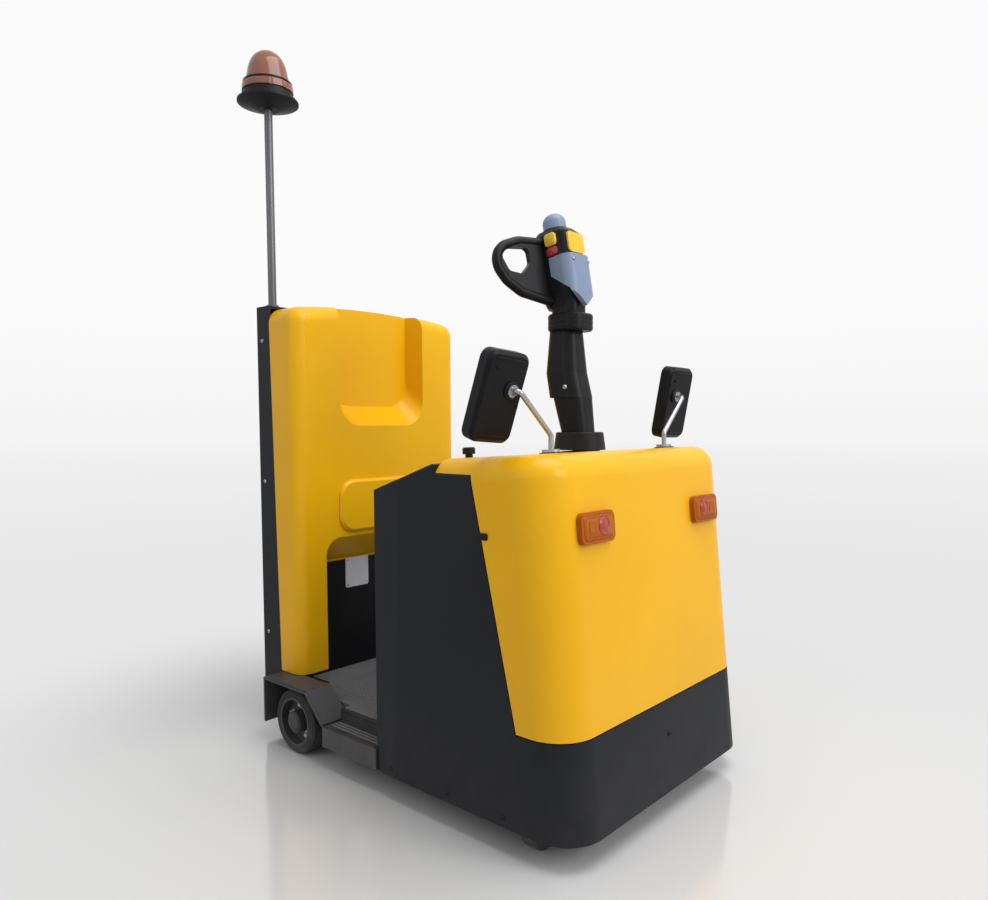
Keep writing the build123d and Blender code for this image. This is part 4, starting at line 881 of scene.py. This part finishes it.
def fit_panel_screws():
    """Screws that hold the console wall, the arch panel and the bare plate."""
    screws = bmesh.new()
    for side in (-1, 1):
        for z in (0.200, 0.460, 0.720):
            button_screw(screws, (CONSOLE_X, side * 0.330, z), (-1, 0, 0), radius=0.005)
        for z in (0.200, 0.400):
            button_screw(screws, (-0.465, side * 0.205, z), (1, 0, 0), radius=0.005)
    for y in (-0.084, -0.008):
        for z in (0.415, 0.495):
            button_screw(screws, (-0.463, y, z), (1, 0, 0), radius=0.003)
    finish_piece("panel_screws", screws, "chassis", "bright_steel")


# Mirrors: beads on the back and collars at the joints
MIRROR_CENTRE = Vector((0.438, 0.380, 0.990))
MIRROR_BACK_OUT = 0.0160
# Side, toe, lean and roll in degrees; the two settings are given one by one and differ
MIRROR_SETTINGS = ((-1, 6.3, 17.1, -4.4), (1, -3.4, 10.4, -0.5))


def mirror_place(side, toe, lean, roll):
    """Frame of a mirror: local z looks forward, local y up."""
    turn = math.radians(toe)
    tip = math.radians(lean)
    spin = math.radians(roll)
    ahead = Vector((math.cos(turn), side * math.sin(turn), 0))
    up = ahead * math.sin(tip) + Vector((0, 0, math.cos(tip)))
    across = up.cross(ahead).normalized()
    centre = Vector((MIRROR_CENTRE.x, side * MIRROR_CENTRE.y, MIRROR_CENTRE.z))
    return facing(centre, across * math.cos(spin) + up * math.sin(spin), across.cross(up))


def dress_mirrors():
    """Two beads and a screw on each housing's back, and a collar at the ball joint."""
    beads = bmesh.new()
    joints = bmesh.new()
    for setting in MIRROR_SETTINGS:
        back = mirror_place(*setting) @ Matrix.Translation((0, 0, MIRROR_BACK_OUT))
        for height in (0.084, -0.084):
            pillow(beads, back @ Matrix.Translation((0, height, 0)), 0.084, 0.005, 0.002, (
                (0, -0.0005), (0.0005, 0.001), (0.0015, 0.0016)))
        button_screw(beads, back @ Vector((-0.030, 0.062, 0)), back.to_3x3() @ Vector((0, 0, 1)), radius=0.005)
        joint = back @ Matrix.Translation((-setting[0] * 0.020, 0.020, 0))
        lathe(joints, joint, (
            (0.0142, 0), (0.0200, 0), (0.0198, 0.0028), (0.0180, 0.0042), (0.0142, 0.0042)), steps=36)
    finish_piece("mirror_back_beads", beads, "chassis", "grip_plastic")
    finish_piece("mirror_joint_collars", joints, "chassis", "dark_plastic")


for way, label in ((-1, "right"), (1, "left")):
    dress_rear_wheel(way, label)
    dress_castor(way, label)
dress_drive_wheel()
lay_mat_ribs()
fit_step_edges()
fit_fender_trim()
build_beacon()
build_lamps()
build_head_controls()
fit_hood_hardware()
fit_bumper_hardware()
fit_back_hardware()
press_back_beads()
fit_panel_screws()
dress_mirrors()


# Studio: tones are seen from the camera only, apart from the floor's own
FLOOR_TONE = 0.70
FLOOR_ROUGHNESS = 0.12
GLOW_FROM = 0.80
GLOW_FULL = 1.9
GLOW_REACH = 40.0
GLOW_TONES = ((0.10, 0.80), (0.24, 0.845), (1.0, 0.905))
WORLD_LIGHT = 0.52
BACKDROP_TONES = ((0.0, 0.905), (0.14, 0.965))
# Name, place, target, size and power
STUDIO_LAMPS = (
    ("front_lamp", (5.2, 0.8, 3.2), (0.1, 0.0, 0.7), 2.8, 114),
    ("top_lamp", (1.2, 0.2, 3.8), (-0.3, 0.0, 0.8), 2.4, 72),
    ("side_lamp", (-0.6, -3.4, 2.2), (0.0, 0.0, 0.7), 1.8, 9),
)


def add_floor():
    """Pale glossy studio floor that fades into the backdrop."""
    mesh = bpy.data.meshes.new("studio_floor")
    shape = bmesh.new()
    bmesh.ops.create_grid(shape, x_segments=8, y_segments=8, size=40)
    shape.to_mesh(mesh)
    shape.free()
    floor = bpy.data.objects.new("studio_floor", mesh)
    bpy.context.scene.collection.objects.link(floor)
    material = bpy.data.materials.new("studio_floor")
    material.use_nodes = True
    tree = material.node_tree
    shader = tree.nodes["Principled BSDF"]
    shader.inputs["Base Color"].default_value = (FLOOR_TONE, FLOOR_TONE, FLOOR_TONE, 1)
    shader.inputs["Roughness"].default_value = FLOOR_ROUGHNESS
    shader.inputs["Specular IOR Level"].default_value = 0.9
    glow = tree.nodes.new("ShaderNodeEmission")
    place = tree.nodes.new("ShaderNodeTexCoord")
    far = tree.nodes.new("ShaderNodeVectorMath")
    far.operation = "LENGTH"
    fade = tree.nodes.new("ShaderNodeMapRange")
    fade.interpolation_type = "SMOOTHSTEP"
    fade.inputs["From Min"].default_value = GLOW_FROM
    fade.inputs["From Max"].default_value = GLOW_FULL
    path = tree.nodes.new("ShaderNodeLightPath")
    seen = add_math(tree, "MULTIPLY")
    reach = tree.nodes.new("ShaderNodeMapRange")
    reach.inputs["From Max"].default_value = GLOW_REACH
    tone = tree.nodes.new("ShaderNodeValToRGB")
    set_greys(tone, GLOW_TONES)
    mix = tree.nodes.new("ShaderNodeMixShader")
    out = tree.nodes["Material Output"]
    link = tree.links.new
    link(place.outputs["Object"], far.inputs[0])
    link(far.outputs["Value"], fade.inputs["Value"])
    link(far.outputs["Value"], reach.inputs["Value"])
    link(reach.outputs["Result"], tone.inputs["Fac"])
    link(tone.outputs["Color"], glow.inputs["Color"])
    link(fade.outputs["Result"], seen.inputs[0])
    link(path.outputs["Is Camera Ray"], seen.inputs[1])
    link(seen.outputs[0], mix.inputs["Fac"])
    link(shader.outputs["BSDF"], mix.inputs[1])
    link(glow.outputs["Emission"], mix.inputs[2])
    link(mix.outputs["Shader"], out.inputs["Surface"])
    mesh.materials.append(material)


def add_world():
    """Even light all round; the camera, gloss and glass see a backdrop that pales upwards."""
    world = bpy.data.worlds.new("studio")
    world.use_nodes = True
    bpy.context.scene.world = world
    tree = world.node_tree
    light = tree.nodes["Background"]
    light.inputs["Color"].default_value = (1.0, 1.0, 1.0, 1)
    light.inputs["Strength"].default_value = WORLD_LIGHT
    seen = tree.nodes.new("ShaderNodeBackground")
    seen.inputs["Strength"].default_value = 1.0
    place = tree.nodes.new("ShaderNodeTexCoord")
    split = tree.nodes.new("ShaderNodeSeparateXYZ")
    ramp = tree.nodes.new("ShaderNodeValToRGB")
    set_greys(ramp, BACKDROP_TONES)
    path = tree.nodes.new("ShaderNodeLightPath")
    gloss_too = add_math(tree, "MAXIMUM")
    glass_too = add_math(tree, "MAXIMUM")
    mix = tree.nodes.new("ShaderNodeMixShader")
    out = tree.nodes["World Output"]
    link = tree.links.new
    link(place.outputs["Generated"], split.inputs[0])
    link(split.outputs["Z"], ramp.inputs["Fac"])
    link(ramp.outputs["Color"], seen.inputs["Color"])
    link(path.outputs["Is Camera Ray"], gloss_too.inputs[0])
    link(path.outputs["Is Glossy Ray"], gloss_too.inputs[1])
    link(gloss_too.outputs[0], glass_too.inputs[0])
    link(path.outputs["Is Transmission Ray"], glass_too.inputs[1])
    link(glass_too.outputs[0], mix.inputs["Fac"])
    link(light.outputs["Background"], mix.inputs[1])
    link(seen.outputs["Background"], mix.inputs[2])
    link(mix.outputs["Shader"], out.inputs["Surface"])


def add_lamp(name, place, target, size, power):
    """Soft square studio lamp pointed at a target."""
    data = bpy.data.lights.new(name, "AREA")
    data.size = size
    data.energy = power
    lamp = bpy.data.objects.new(name, data)
    lamp.location = place
    lamp.rotation_euler = (Vector(target) - Vector(place)).to_track_quat("-Z", "Y").to_euler()
    bpy.context.scene.collection.objects.link(lamp)


add_floor()
add_world()
for lamp_row in STUDIO_LAMPS:
    add_lamp(*lamp_row)

bpy.context.scene.view_settings.view_transform = "Standard"
